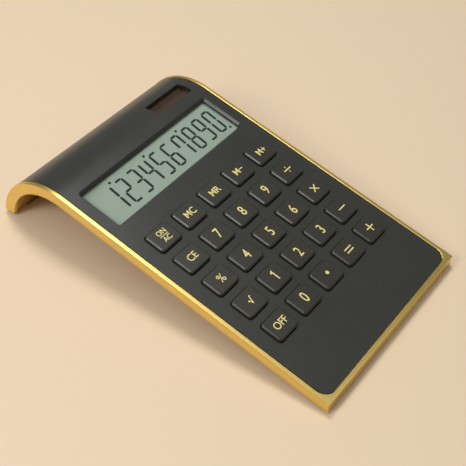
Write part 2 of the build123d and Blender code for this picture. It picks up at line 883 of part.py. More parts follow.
def make_positive_contact():
    """Sprung leaf at the side of the cell, with an arm to the board."""
    inner = -cell_radius - leaf_gap
    outer = inner - contact_strip
    leaf_front = -cell_place - leaf_length / 2
    leaf_rear = leaf_front + leaf_length
    middle = (leaf_top + leaf_bottom) / 2
    leaf = block(outer, inner, leaf_front, leaf_rear, leaf_top, leaf_bottom)
    leaf += block(outer, inner, leaf_rear, -contact_foot_end, leaf_top, middle)
    leaf += block(outer, inner, -contact_tail_place, -contact_foot_end, middle, board_top)
    foot_side = outer + leaf_foot_width
    foot_top = board_top - contact_strip
    return leaf + block(outer, foot_side, -contact_tail_place, -contact_foot_end, foot_top, board_top)


def save(name, solid):
    """Tip one piece, or a group of like pieces, onto the table and write it."""
    if isinstance(solid, list):
        solid = Compound(children=[on_table * piece for piece in solid])
    else:
        solid = on_table * solid
    export_step(solid, f"parts/{name}.step")


def save_standing(name, solids):
    """Write a group of like pieces that are drawn standing on the table."""
    export_step(Compound(children=solids), f"parts/{name}.step")


def main():
    """Make every piece and write it."""
    os.makedirs("parts", exist_ok=True)
    save("frame", make_frame())
    save("face_panel", make_face_panel())
    save("back_cover", make_back_cover())
    save("display_lens", make_display_lens())
    save("lcd_glass", make_lcd_glass())
    save("lcd_backing", make_lcd_backing())
    save("lcd_ribbon", make_lcd_ribbon())
    save("solar_window", make_solar_window())
    save("solar_cell", make_solar_cell())
    save("solar_lead_positive", make_solar_lead(0))
    save("solar_lead_negative", make_solar_lead(1))
    save("key_mat", make_key_mat())
    save("contact_pills", make_contact_pills())
    save("circuit_board", make_circuit_board())
    save("chip_blob", make_chip_blob())
    save("chip_capacitors", make_capacitors())
    save("clamp_diode", make_diode())
    save("battery_cell", make_battery_cell())
    save("battery_contact_negative", make_negative_contact())
    save("battery_contact_positive", make_positive_contact())
    save("battery_door", make_battery_door())
    save("battery_door_screw", make_door_screw())
    save("case_screws", make_case_screws())
    save("board_screws", make_board_screws())
    sides = (-1, 1)
    save_standing("front_feet", [front_foot_solid(side * front_foot_across, 0) for side in sides])
    save_standing("rear_feet", [rear_foot_solid(side * rear_foot_across, 0) for side in sides])
    keycap = make_keycap()
    for name, across, along in key_places():
        save(f"key_{name}", Pos(across, along, 0) * keycap)


main()
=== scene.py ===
"""Looks of a slim desktop calculator whose slab rolls over into a leg.

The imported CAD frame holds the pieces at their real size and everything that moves. This
script gives them their finish, and models the casing, the keys, the rubber mat and the
display again with soft edges, printed legends and figures.

New pieces are drawn flat, in the slab's own millimetres: X runs across the body from left
to right, Y runs along the top face towards the display with zero where the arch starts and
goes on round the arch, and Z stands out of the face with zero at the top of the rim. The
finished mesh is then bent round the arch, tipped onto the table and turned to metres.
"""

import json
import logging
import math
from collections.abc import Callable, Iterable
from dataclasses import dataclass, field
from enum import Enum
from typing import NamedTuple

import bmesh
import bpy
from mathutils import Euler, Matrix, Vector


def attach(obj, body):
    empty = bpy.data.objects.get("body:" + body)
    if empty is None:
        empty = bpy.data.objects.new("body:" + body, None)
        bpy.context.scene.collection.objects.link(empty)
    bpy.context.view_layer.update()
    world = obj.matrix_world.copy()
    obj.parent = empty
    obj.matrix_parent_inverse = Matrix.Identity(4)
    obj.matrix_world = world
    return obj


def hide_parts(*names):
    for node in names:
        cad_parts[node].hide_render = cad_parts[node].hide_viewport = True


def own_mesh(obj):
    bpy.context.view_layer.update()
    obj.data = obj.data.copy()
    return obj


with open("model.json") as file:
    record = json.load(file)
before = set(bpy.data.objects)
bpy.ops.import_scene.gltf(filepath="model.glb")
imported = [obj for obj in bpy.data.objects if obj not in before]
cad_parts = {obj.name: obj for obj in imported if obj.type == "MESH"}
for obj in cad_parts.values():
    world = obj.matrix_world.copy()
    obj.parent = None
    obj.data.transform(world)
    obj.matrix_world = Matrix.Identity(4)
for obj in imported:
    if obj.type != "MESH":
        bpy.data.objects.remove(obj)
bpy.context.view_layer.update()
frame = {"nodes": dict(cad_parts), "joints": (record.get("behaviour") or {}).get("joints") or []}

logging.basicConfig(level=logging.INFO, format="%(name)s: %(message)s")
LOG = logging.getLogger("calculator")

MILLIMETRE = 0.001
NEAR = 1e-4
HOUSING = "housing"
Colour = tuple[float, float, float]
Mesh = bmesh.types.BMesh
Edge = bmesh.types.BMEdge
Face = bmesh.types.BMFace
Socket = bpy.types.NodeSocket
Steps = tuple[tuple[float, float], ...]

KEY_EDGE: Steps = ((0.03, 0.12), (0.07, 0.10), (0.40, 0.40), (0.10, 0.07), (0.12, 0.03))
PANEL_EDGE: Steps = ((0.02, 0.04), (0.04, 0.02))
SOFT_EDGE: Steps = ((0.09, 0.02), (0.04, 0.05), (0.02, 0.08))
BEZEL: Steps = ((0.08, 0.02), (0.96, 0.96), (0.04, 0.08))
RIM_LIP: Steps = ((0.12, 0.03), (0.10, 0.08), (0.05, 0.12))

DUST_GREY: Colour = (0.45, 0.43, 0.40)
ROUGHNESS_DRIFT = 0.06
GRAIN_DEPTH = 0.0001
SHARP_DEGREES = 50.0
FOLD_DEGREES = 30.0


class Cut(Enum):
    """How one solid works on another."""

    AWAY = "DIFFERENCE"
    ONTO = "UNION"


class Span(NamedTuple):
    """A block given by its sides, its ends, its top and its bottom, in slab millimetres."""

    left: float
    right: float
    front: float
    rear: float
    top: float
    bottom: float

    def grown(self, side: float) -> "Span":
        """The same block, larger by one length on all four sides."""
        left, right, front, rear, top, bottom = self
        return Span(left - side, right + side, front - side, rear + side, top, bottom)

    @classmethod
    def centred(cls, half: float, end: float, top: float, bottom: float) -> "Span":
        """A block round the origin, by half its width and half its length."""
        return cls(-half, half, -end, end, top, bottom)


@dataclass(frozen=True)
class SlabSpace:
    """The slab's own space, and how it bends and stands in the frame.

    Args:
        arch_radius: radius of the rim's top round the arch.
        straight: length from the front edge to the start of the arch.
        foot_height: height of the leg's foot above the table.
        centre_drop: how far the centre of the arch lies below the leg's foot.
        step_degrees: turn between two rows of vertices round the arch.
    """

    arch_radius: float = 31.4
    straight: float = 141.2
    foot_height: float = 1.3
    centre_drop: float = 1.9
    step_degrees: float = 2.5

    @property
    def tilt(self) -> float:
        """Lean of the slab, from the direction in which the keys travel."""
        axis = frame["joints"][0]["axis"]
        return math.atan2(axis[1], -axis[2])

    @property
    def arch_centre(self) -> float:
        """Place of the arch's axis along the table, with the object centred on the origin."""
        reach = self.straight * math.cos(self.tilt) + self.arch_radius * math.sin(self.tilt)
        return (reach - math.sqrt(self.arch_radius**2 - self.centre_drop**2)) / 2

    @property
    def tail(self) -> float:
        """Length from the start of the arch to the foot of the leg, along the top."""
        return self.level_tail(0.0)

    def level_tail(self, depth: float) -> float:
        """Flat length at which a depth below the top reaches the height of the leg's foot."""
        foot = math.asin(self.centre_drop / (self.arch_radius - depth))
        return self.arch_radius * (math.pi / 2 + self.tilt - foot)

    def settle(self, point: Vector) -> Vector:
        """Place of a flat point in the frame.

        Args:
            point: X, Y and Z in slab millimetres, flat.

        Returns:
            The point in metres, bent round the arch and tipped onto the table.
        """
        along, up = point.y, point.z + self.arch_radius
        if point.y > 0:
            turn = point.y / self.arch_radius
            along, up = up * math.sin(turn), up * math.cos(turn)
        lean = self.tilt
        behind = along * math.cos(lean) - up * math.sin(lean) + self.arch_centre
        height = along * math.sin(lean) + up * math.cos(lean) + self.foot_height - self.centre_drop
        return Vector((point.x, behind, height)) * MILLIMETRE

    @staticmethod
    def score(bm: Mesh, direction: Vector, places: Iterable[float]) -> None:
        """Cut the faces of a mesh along planes, without opening it.

        Args:
            bm: the mesh that is cut.
            direction: direction that the planes face.
            places: how far along it each plane lies.
        """
        for place in places:
            everything = bm.verts[:] + bm.edges[:] + bm.faces[:]
            bmesh.ops.bisect_plane(
                bm, geom=everything, dist=NEAR, plane_co=direction * place, plane_no=direction
            )

    def bend(self, bm: Mesh) -> None:
        """Cut a flat mesh across the arch, then move it to its place in the frame."""
        if max(vert.co.y for vert in bm.verts) > NEAR:
            step = self.arch_radius * math.radians(self.step_degrees)
            rows = math.ceil(self.tail / step)
            self.score(bm, Vector((0, 1, 0)), [count * step for count in range(rows)])
        for vert in bm.verts:
            vert.co = self.settle(vert.co)


SLAB = SlabSpace()


class NodeSheet:
    """A node tree that is filled one node at a time."""

    def __init__(self, tree: bpy.types.NodeTree) -> None:
        """Keep the tree that the nodes go into."""
        self.tree = tree

    def feed(self, socket: Socket, value: object) -> None:
        """Link a socket to another one, or set it to a colour or a number."""
        if isinstance(value, Socket):
            self.tree.links.new(value, socket)
        else:
            socket.default_value = (*value, 1.0) if socket.type == "RGBA" else value

    def add(
        self, kind: str, settings: dict[str, object] | None = None, **inputs: object
    ) -> bpy.types.Node:
        """Add one node.

        Args:
            kind: Blender's name for the node's type.
            settings: properties of the node itself.
            inputs: socket values by name with underscores for spaces, or sockets to link from.

        Returns:
            The new node.
        """
        node = self.tree.nodes.new(kind)
        for name, value in (settings or {}).items():
            setattr(node, name, value)
        for name, value in inputs.items():
            self.feed(node.inputs[name.replace("_", " ")], value)
        return node

    def mix(self, mask: Socket, first: object, second: object) -> Socket:
        """Mix two colours by a mask and return the colour."""
        node = self.add("ShaderNodeMix", {"data_type": "RGBA"})
        for index, value in ((0, mask), (6, first), (7, second)):
            self.feed(node.inputs[index], value)
        return node.outputs[2]

    def maths(self, operation: str, first: object, second: object = 0.0) -> Socket:
        """Work out one number and return its socket."""
        node = self.add("ShaderNodeMath", {"operation": operation})
        for socket, value in zip(node.inputs, (first, second)):
            self.feed(socket, value)
        return node.outputs[0]

    def product(self, first: object, *others: object) -> Socket:
        """Multiply two or more values."""
        for other in others:
            first = self.maths("MULTIPLY", first, other)
        return first

    def spread(
        self, value: Socket, low: float, high: float, start: float = 0.0, end: float = 1.0
    ) -> Socket:
        """Stretch a value that lies between a start and an end to two new ends."""
        ends = {"From_Min": start, "From_Max": end, "To_Min": low, "To_Max": high}
        return self.add("ShaderNodeMapRange", Value=value, **ends).outputs[0]

    def place(self) -> Socket:
        """Place on the object, which every pattern reads."""
        return self.add("ShaderNodeTexCoord").outputs["Object"]

    def noise(self, scale: object, detail: float, roughness: float) -> Socket:
        """Noise over the object."""
        values = {"Vector": self.place(), "Scale": scale, "Detail": detail, "Roughness": roughness}
        return self.add("ShaderNodeTexNoise", **values).outputs[0]


class Effect:
    """A surface effect that more than one finish uses, as a node group that is built once."""

    name: str = ""
    inputs: dict[str, float] = {}
    outputs: tuple[str, ...] = ()

    def fill(self, sheet: NodeSheet, *given: Socket) -> tuple[Socket, ...]:
        """Draw the group's nodes from its inputs, and give what it puts out."""
        raise NotImplementedError

    def tree(self) -> bpy.types.NodeTree:
        """The group, built the first time that a finish asks for it."""
        if self.name in bpy.data.node_groups:
            return bpy.data.node_groups[self.name]
        tree = bpy.data.node_groups.new(self.name, "ShaderNodeTree")
        kind = "NodeSocketFloat"
        for direction, names in (("INPUT", self.inputs), ("OUTPUT", self.outputs)):
            for name in names:
                socket = tree.interface.new_socket(name=name, in_out=direction, socket_type=kind)
                socket.default_value = self.inputs.get(name, 0.0)
        sheet = NodeSheet(tree)
        given = list(sheet.add("NodeGroupInput").outputs)[:len(self.inputs)]
        results = self.fill(sheet, *given)
        for socket, result in zip(sheet.add("NodeGroupOutput").inputs, results):
            sheet.feed(socket, result)
        return tree

    def use(self, sheet: NodeSheet, **values: float) -> bpy.types.Node:
        """Put the group into a material with the material's own values."""
        return sheet.add("ShaderNodeGroup", {"node_tree": self.tree()}, **values)


class FineGrain(Effect):
    """Moulded or plated grain: a height and a slow variation over the surface."""

    name = "fine_grain"
    inputs = {"Grain Scale": 3000.0, "Cloud Scale": 40.0}
    outputs = ("Height", "Cloud")
    pit_depth = 0.5
    grain_noise = (3.0, 0.65)
    cloud_noise = (4.0, 0.6)

    def fill(self, sheet: NodeSheet, *given: Socket) -> tuple[Socket, ...]:
        """Fine noise with pits for the height, and a coarse noise for the slow variation."""
        grain_scale, cloud_scale = given
        pits = sheet.add("ShaderNodeTexVoronoi", Vector=sheet.place(), Scale=grain_scale).outputs[0]
        grain = sheet.noise(grain_scale, *self.grain_noise)
        height = sheet.maths("ADD", grain, sheet.product(pits, self.pit_depth))
        return height, sheet.noise(cloud_scale, *self.cloud_noise)


class EdgeWear(Effect):
    """Mask of rubbed edges, broken up by a noise."""

    name = "edge_wear"
    inputs = {"Radius": 0.0003, "Amount": 0.5}
    outputs = ("Mask",)
    flat_cosine = 0.99
    edge_cosine = 0.8
    patch_noise = (120.0, 5.0, 0.7)
    patch_range = (0.45, 0.65)
    samples = 4

    def fill(self, sheet: NodeSheet, *given: Socket) -> tuple[Socket, ...]:
        """Where the rounded normal leaves the face's own, in patches."""
        radius, amount = given
        kind, settings = "ShaderNodeBevel", {"samples": self.samples}
        rounded = sheet.add(kind, settings, Radius=radius).outputs[0]
        face = sheet.add("ShaderNodeNewGeometry").outputs["Normal"]
        across = sheet.add("ShaderNodeVectorMath", {"operation": "DOT_PRODUCT"})
        for socket, normal in zip(across.inputs, (rounded, face)):
            sheet.feed(socket, normal)
        edge = sheet.spread(across.outputs["Value"], 0.0, 1.0, self.flat_cosine, self.edge_cosine)
        broken = sheet.spread(sheet.noise(*self.patch_noise), 0.0, 1.0, *self.patch_range)
        return (sheet.product(edge, broken, amount),)


class DustFilm(Effect):
    """Mask of the faint dust that settles on what faces up."""

    name = "dust_film"
    inputs = {"Amount": 0.1}
    outputs = ("Mask",)
    lowest_rise = 0.4
    speck_noise = (900.0, 6.0, 0.8)
    speck_range = (0.5, 0.8)

    def fill(self, sheet: NodeSheet, *given: Socket) -> tuple[Socket, ...]:
        """How far a face looks up, times fine specks."""
        normal = sheet.add("ShaderNodeNewGeometry").outputs["Normal"]
        upright = sheet.add("ShaderNodeSeparateXYZ", Vector=normal).outputs[2]
        facing = sheet.spread(upright, 0.0, 1.0, self.lowest_rise, 1.0)
        thin = sheet.spread(sheet.noise(*self.speck_noise), 0.0, 1.0, *self.speck_range)
        return (sheet.product(facing, thin, *given),)


@dataclass(frozen=True)
class Surface:
    """What a piece is made of.

    Args:
        name: name of the material.
    """

    name: str

    def make(self) -> bpy.types.Material:
        """The material, built once and then shared."""
        label = f"{self.name}_finish"
        if label in bpy.data.materials:
            return bpy.data.materials[label]
        material = bpy.data.materials.new(label)
        material.use_nodes = True
        self.dress(NodeSheet(material.node_tree), material.node_tree.nodes["Principled BSDF"])
        return material

    def dress(self, sheet: NodeSheet, shader: bpy.types.Node) -> None:
        """Fill the node tree of the material.

        Args:
            sheet: the material's node tree.
            shader: its Principled shader.
        """
        raise NotImplementedError


@dataclass(frozen=True)
class Finish(Surface):
    """A finish made of a base colour, grain, a little wear and a little dust.

    Args:
        colour: main colour.
        second: colour that the slow variation leans to.
        worn: colour of rubbed edges.
        roughness: roughness of the clean surface.
        metallic: whether the finish is bare or plated metal.
        grain_scale: size of the grain, larger is finer.
        grain_height: strength of the grain's bump.
        wear: how far the edges are rubbed.
        dust: how much dust lies on it.
        specular: level of the plain reflection.
    """

    colour: Colour
    second: Colour
    worn: Colour
    roughness: float = 0.45
    metallic: float = 0.0
    grain_scale: float = 3000.0
    grain_height: float = 0.04
    wear: float = 0.15
    dust: float = 0.05
    specular: float = 0.5

    def dress(self, sheet: NodeSheet, shader: bpy.types.Node) -> None:
        """Fill the node tree of the material with the colour, the effects and the plain values."""
        grain = FineGrain().use(sheet, Grain_Scale=self.grain_scale).outputs
        wear = EdgeWear().use(sheet, Amount=self.wear).outputs["Mask"]
        dust = DustFilm().use(sheet, Amount=self.dust).outputs["Mask"]
        rubbed = sheet.mix(wear, self.pattern(sheet, grain["Cloud"]), self.worn)
        sheet.feed(shader.inputs["Base Color"], sheet.mix(dust, rubbed, DUST_GREY))
        low, high = self.roughness - ROUGHNESS_DRIFT, self.roughness + ROUGHNESS_DRIFT
        rough = sheet.maths("ADD", sheet.spread(grain["Cloud"], low, high), dust)
        sheet.feed(shader.inputs["Roughness"], rough)
        relief = {"Height": grain["Height"], "Strength": self.grain_height, "Distance": GRAIN_DEPTH}
        sheet.feed(shader.inputs["Normal"], sheet.add("ShaderNodeBump", **relief).outputs[0])
        shader.inputs["Metallic"].default_value = self.metallic
        shader.inputs["Specular IOR Level"].default_value = self.specular

    def pattern(self, sheet: NodeSheet, cloud: Socket) -> Socket:
        """Colour of the clean surface, from the slow variation."""
        return sheet.mix(cloud, self.colour, self.second)


@dataclass(frozen=True)
class CellFinish(Finish):
    """Dark solar cell, split into strips by thin lines.

    Args:
        line: colour of the lines.
        strip: width of one strip, in metres.
        line_share: share of a strip that its line takes.
    """

    line: Colour = (0.10, 0.07, 0.05)
    strip: float = 0.0061
    line_share: float = 0.04

    def pattern(self, sheet: NodeSheet, cloud: Socket) -> Socket:
        """Colour of the cell with a thin line between two strips."""
        plain = super().pattern(sheet, cloud)
        across = sheet.add("ShaderNodeSeparateXYZ", Vector=sheet.place()).outputs[0]
        share = sheet.maths("FRACT", sheet.maths("DIVIDE", across, self.strip))
        return sheet.mix(sheet.maths("LESS_THAN", share, self.line_share), plain, self.line)


@dataclass(frozen=True)
class BoardFinish(Finish):
    """Circuit board with copper tracks under its lacquer.

    Args:
        track: colour of the tracks.
        track_share: share of the board that the tracks take.
        cell_scale: size of the blocks that the tracks bend round, larger is finer.
        wave: distance from one track to the next, in the pattern's own measure.
    """

    track: Colour = (0.10, 0.17, 0.06)
    track_share: float = 0.45
    cell_scale: float = 60.0
    wave: float = 0.064

    def pattern(self, sheet: NodeSheet, cloud: Socket) -> Socket:
        """Colour of the board with bent tracks running across it."""
        plain = super().pattern(sheet, cloud)
        place = sheet.place()
        blocks = sheet.add(
            "ShaderNodeTexVoronoi", {"distance": "MANHATTAN"}, Vector=place, Scale=self.cell_scale
        )
        along = sheet.add("ShaderNodeSeparateXYZ", Vector=place).outputs[1]
        waves = sheet.maths("ADD", blocks.outputs[0], along)
        share = sheet.maths("FRACT", sheet.maths("DIVIDE", waves, self.wave))
        return sheet.mix(sheet.maths("LESS_THAN", share, self.track_share), plain, self.track)


@dataclass(frozen=True)
class Glass(Surface):
    """Clear or smoked plate that lets the light through.

    Args:
        tint: colour of what shows through.
        roughness: roughness of its face.
        smear: how much rougher its smeared places are.
        ior: how far it bends the light.
    """

    tint: Colour
    roughness: float = 0.03
    smear: float = 0.03
    ior: float = 1.45

    def dress(self, sheet: NodeSheet, shader: bpy.types.Node) -> None:
        """Glass to the eye, and plainly see-through to shadows and to light that has bounced."""
        plain = {"Transmission Weight": 1.0, "IOR": self.ior, "Base Color": self.tint}
        for name, value in plain.items():
            sheet.feed(shader.inputs[name], value)
        cloud = FineGrain().use(sheet).outputs["Cloud"]
        rough = sheet.spread(cloud, self.roughness, self.roughness + self.smear)
        sheet.feed(shader.inputs["Roughness"], rough)
        clear = sheet.add("ShaderNodeBsdfTransparent", Color=self.tint)
        path = sheet.add("ShaderNodeLightPath").outputs
        bounced = sheet.maths("MAXIMUM", path["Is Shadow Ray"], path["Is Diffuse Ray"])
        both = sheet.add("ShaderNodeMixShader")
        for socket, value in zip(both.inputs, (bounced, shader.outputs[0], clear.outputs[0])):
            sheet.feed(socket, value)
        out = next(node for node in sheet.tree.nodes if node.type == "OUTPUT_MATERIAL")
        sheet.feed(out.inputs["Surface"], both.outputs[0])


def grey(level: float) -> Colour:
    """A plain grey."""
    return (level, level, level)


GOLD = Finish(
    "gold_plating", (0.85, 0.63, 0.20), (0.82, 0.60, 0.185), (0.90, 0.70, 0.28),
    roughness=0.33, metallic=1.0, grain_scale=2600.0, grain_height=0.0, wear=0.05, dust=0.02,
)
GOLD_LACQUER = Finish(
    "gold_lacquer", (0.66, 0.44, 0.12), (0.60, 0.40, 0.10), (0.74, 0.54, 0.20),
    roughness=0.42, metallic=0.85, grain_scale=1800.0, grain_height=0.20, wear=0.15, dust=0.05,
)
BLACK_PANEL = Finish(
    "black_panel", (0.030, 0.031, 0.027), (0.034, 0.035, 0.030), (0.06, 0.058, 0.05),
    roughness=0.30, grain_scale=2400.0, grain_height=0.05, wear=0.2, dust=0.04, specular=0.36,
)
BLACK_KEY = Finish(
    "black_key", (0.029, 0.0275, 0.020), (0.033, 0.031, 0.023), (0.05, 0.05, 0.045),
    roughness=0.30, grain_scale=2600.0, grain_height=0.04, wear=0.2, dust=0.03, specular=0.42,
)
GOLD_INK = Finish(
    "pale_gold_ink", (0.80, 0.69, 0.27), (0.74, 0.63, 0.24), (0.60, 0.52, 0.22),
    roughness=0.40, grain_height=0.02, wear=0.0, dust=0.0,
)
LCD_GREY = Finish(
    "lcd_grey", (0.32, 0.385, 0.325), (0.305, 0.37, 0.31), (0.40, 0.44, 0.38),
    roughness=0.6, grain_height=0.0, wear=0.0, dust=0.0, specular=0.0,
)
LCD_DARK = Finish(
    "lcd_dark", (0.022, 0.034, 0.030), (0.026, 0.040, 0.034), (0.05, 0.07, 0.06),
    roughness=0.6, grain_height=0.0, wear=0.0, dust=0.0, specular=0.0,
)
SOLAR = CellFinish(
    "solar_cell", (0.085, 0.058, 0.036), (0.100, 0.066, 0.040), (0.12, 0.08, 0.05),
    roughness=0.18, grain_height=0.01, wear=0.0, dust=0.0,
)
FOAM = Finish(
    "white_foam", (0.78, 0.78, 0.74), (0.72, 0.72, 0.68), (0.8, 0.8, 0.78),
    roughness=0.85, grain_scale=1500.0, grain_height=0.5,
)
RIBBON = Finish(
    "ribbon_film", (0.28, 0.28, 0.29), (0.24, 0.24, 0.25), grey(0.4), roughness=0.4
)
RED_WIRE = Finish(
    "red_wire", (0.55, 0.04, 0.03), (0.48, 0.03, 0.03), (0.6, 0.1, 0.1), roughness=0.4
)
BLACK_WIRE = Finish("black_wire", grey(0.02), grey(0.03), grey(0.05), roughness=0.4)
SILICONE = Finish(
    "grey_silicone", (0.42, 0.43, 0.45), (0.38, 0.39, 0.41), (0.5, 0.5, 0.52),
    roughness=0.6, grain_height=0.15,
)
CARBON = Finish("carbon_rubber", grey(0.015), grey(0.02), grey(0.04), roughness=0.7)
BOARD = BoardFinish(
    "circuit_board", (0.15, 0.24, 0.08), (0.13, 0.21, 0.07), (0.3, 0.3, 0.15), roughness=0.3
)
RESIN = Finish("black_resin", grey(0.012), grey(0.016), grey(0.04), roughness=0.25)
CERAMIC = Finish(
    "tan_ceramic", (0.55, 0.42, 0.28), (0.5, 0.38, 0.25), (0.6, 0.5, 0.4), roughness=0.5
)
NICKEL = Finish(
    "nickel", (0.66, 0.64, 0.60), (0.60, 0.58, 0.54), (0.75, 0.74, 0.72),
    roughness=0.28, metallic=1.0, grain_height=0.06,
)
ZINC = Finish(
    "zinc_plate", (0.52, 0.53, 0.55), (0.46, 0.47, 0.49), (0.7, 0.7, 0.72),
    roughness=0.35, metallic=1.0, grain_height=0.12, wear=0.4,
)
RUBBER = Finish(
    "black_rubber", grey(0.022), grey(0.03), grey(0.06),
    roughness=0.75, grain_scale=1600.0, grain_height=0.25,
)
CLEAR = Glass("clear_lens", (0.95, 0.97, 0.95))
SMOKED = Glass("smoked_window", (0.80, 0.72, 0.64), 0.05)


class Shop:
    """Shared ways of making a mesh and handing a finished piece over to the frame."""

    @staticmethod
    def block(span: Span, corner: float = 0.0, segments: int = 6) -> Mesh:
        """A block in slab millimetres, with upright edges rounded if asked.

        Args:
            span: sides, ends, top and bottom of the block.
            corner: radius of its upright edges.
            segments: facets of each rounded edge.

        Returns:
            A new mesh.
        """
        bm = bmesh.new()
        bmesh.ops.create_cube(bm, size=1.0)
        size = Vector((span.right - span.left, span.rear - span.front, span.top - span.bottom))
        ends = (span.left + span.right, span.front + span.rear, span.top + span.bottom)
        bmesh.ops.scale(bm, verts=bm.verts, vec=size)
        Shop.moved(bm, *Vector(ends) / 2)
        if corner > 0:
            Shop.round_over(bm, Shop.uprights(bm), corner, segments)
        return bm

    @staticmethod
    def edges(bm: Mesh, keep: Callable[[Vector, Vector], bool]) -> list[Edge]:
        """Edges whose two ends pass a test."""
        return [edge for edge in bm.edges if keep(edge.verts[0].co, edge.verts[1].co)]

    @staticmethod
    def round_over(bm: Mesh, edges: list[Edge], radius: float, segments: int = 2) -> None:
        """Round some edges of a mesh."""
        bmesh.ops.bevel(
            bm, geom=edges, offset=radius, offset_type="OFFSET", segments=segments, profile=0.5,
            affect="EDGES", clamp_overlap=True, material=-1,
        )

    @staticmethod
    def top_edges(bm: Mesh, height: float) -> list[Edge]:
        """Sharp edges that lie at one height."""
        level = Shop.edges(
            bm, lambda first, last: max(abs(first.z - height), abs(last.z - height)) < NEAR
        )
        turn = math.radians(FOLD_DEGREES)
        return [edge for edge in level if edge.is_manifold and edge.calc_face_angle(0) > turn]

    @staticmethod
    def uprights(bm: Mesh) -> list[Edge]:
        """Edges that lead from one height to another."""
        return Shop.edges(bm, lambda first, last: abs(first.z - last.z) > NEAR)

    @staticmethod
    def turned(bm: Mesh, angle: float) -> Mesh:
        """Turn a flat mesh about the origin and give it back."""
        bmesh.ops.rotate(bm, verts=bm.verts, matrix=Matrix.Rotation(angle, 3, "Z"))
        return bm

    @staticmethod
    def inset(bm: Mesh, faces: list[Face], width: float, depth: float) -> None:
        """Shrink a group of faces within its outline, and move it along its normals."""
        bm.normal_update()
        bmesh.ops.inset_region(bm, faces=faces, thickness=width, depth=depth, use_even_offset=True)

    @staticmethod
    def draw_out(bm: Mesh, height: float, moves: Iterable[tuple[float, float]]) -> None:
        """Draw the largest face at one height out in steps.

        Args:
            bm: the mesh that is worked on.
            height: height of the face.
            moves: how far it shrinks and how far it moves out in each step.
        """
        level = [face for face in bm.faces if all(abs(v.co.z - height) < NEAR for v in face.verts)]
        face = max(level, key=lambda found: found.calc_area())
        for width, depth in moves:
            Shop.inset(bm, [face], width, depth)

    @staticmethod
    def flared(span: Span, corner: float, face: float, lip: Steps, segments: int = 6) -> Mesh:
        """Cutter that widens towards a face, so that it leaves a soft edge there.

        Args:
            span: the opening below its edge, with the cutter's own top and bottom.
            corner: radius of the opening's corners.
            face: height of the face that it goes through.
            lip: width and drop of each step of the edge, from the face down.
            segments: facets of each corner.

        Returns:
            A new mesh.
        """
        reach, drop = (sum(step) for step in zip(*lip))
        bm = Shop.block(span.grown(reach)._replace(bottom=face), corner + reach, segments)
        Shop.draw_out(bm, face, [*lip, (0.0, face - drop - span.bottom)])
        return bm

    @staticmethod
    def show(name: str, data: bpy.types.ID) -> bpy.types.Object:
        """Put a mesh, a curve, a light or a camera into the scene."""
        piece = bpy.data.objects.new(name, data)
        bpy.context.scene.collection.objects.link(piece)
        return piece

    @staticmethod
    def settled(name: str, bm: Mesh) -> bpy.types.Mesh:
        """Turn a bmesh, which is used up, into a mesh."""
        mesh = bpy.data.meshes.new(name)
        bm.to_mesh(mesh)
        bm.free()
        return mesh

    @staticmethod
    def worked_out(piece: bpy.types.Object) -> bpy.types.Mesh:
        """A new mesh with what the object's modifiers or its curve settings make of it."""
        ready = piece.evaluated_get(bpy.context.evaluated_depsgraph_get())
        return bpy.data.meshes.new_from_object(ready)

    @staticmethod
    def reopened(mesh: bpy.types.Mesh, whole: Mesh | None = None) -> Mesh:
        """Turn a mesh, which is used up, back into a bmesh, or add it to one."""
        bm = bmesh.new() if whole is None else whole
        bm.from_mesh(mesh)
        bpy.data.meshes.remove(mesh)
        return bm

    @staticmethod
    def moved(bm: Mesh, *way: float) -> Mesh:
        """Move a mesh and give it back."""
        bmesh.ops.translate(bm, verts=bm.verts, vec=way)
        return bm

    @staticmethod
    def join(parts: Iterable[Mesh]) -> Mesh:
        """Put several meshes into one."""
        whole = bmesh.new()
        for part in parts:
            Shop.reopened(Shop.settled("part", part), whole)
        return whole

    @staticmethod
    def cut(body: Mesh, tool: Mesh, how: Cut) -> Mesh:
        """Cut one closed mesh out of another, or join it on.

        Args:
            body: the mesh that is worked on, which is used up.
            tool: the mesh that cuts or joins, which is used up.
            how: whether the tool is taken away or joined on.

        Returns:
            The new mesh.
        """
        parts = (("body", body), ("tool", tool))
        held = [Shop.show(name, Shop.settled(name, part)) for name, part in parts]
        step = held[0].modifiers.new("cut", "BOOLEAN")
        step.object = held[1]
        step.operation = how.value
        step.solver = "EXACT"
        result = Shop.reopened(Shop.worked_out(held[0]))
        for piece in held:
            mesh = piece.data
            bpy.data.objects.remove(piece)
            bpy.data.meshes.remove(mesh)
        bmesh.ops.remove_doubles(result, verts=result.verts, dist=NEAR)
        return result

    @staticmethod
    def hand_over(
        name: str, bm: Mesh, finish: Surface, body: str = HOUSING, slot: str | None = None,
        stands_for: Iterable[str] = (),
    ) -> bpy.types.Object:
        """Turn a mesh into a finished piece that rides on a body of the frame.

        Args:
            name: name of the piece.
            bm: its mesh, in slab millimetres.
            finish: what its surface is made of.
            body: the body that it moves with.
            slot: the record's material slot; not used.
            stands_for: CAD nodes that it replaces.

        Returns:
            The finished object.
        """
        SLAB.bend(bm)
        bmesh.ops.recalc_face_normals(bm, faces=bm.faces)
        mesh = Shop.settled(name, bm)
        mesh.polygons.foreach_set("use_smooth", [True] * len(mesh.polygons))
        mesh.set_sharp_from_angle(angle=math.radians(SHARP_DEGREES))
        piece = Shop.show(name, mesh)
        piece.modifiers.new("even_normals", "WEIGHTED_NORMAL").keep_sharp = True
        piece.data = Shop.worked_out(piece)
        piece.modifiers.clear()
        Shop.paint(piece, finish)
        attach(piece, body)
        if stands_for:
            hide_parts(*stands_for)
        LOG.info("%s: %d faces on %s", name, len(piece.data.polygons), body)
        return piece

    @staticmethod
    def paint(piece: bpy.types.Object, finish: Surface) -> None:
        """Give an object one finish all over."""
        piece.data.materials.clear()
        piece.data.materials.append(finish.make())

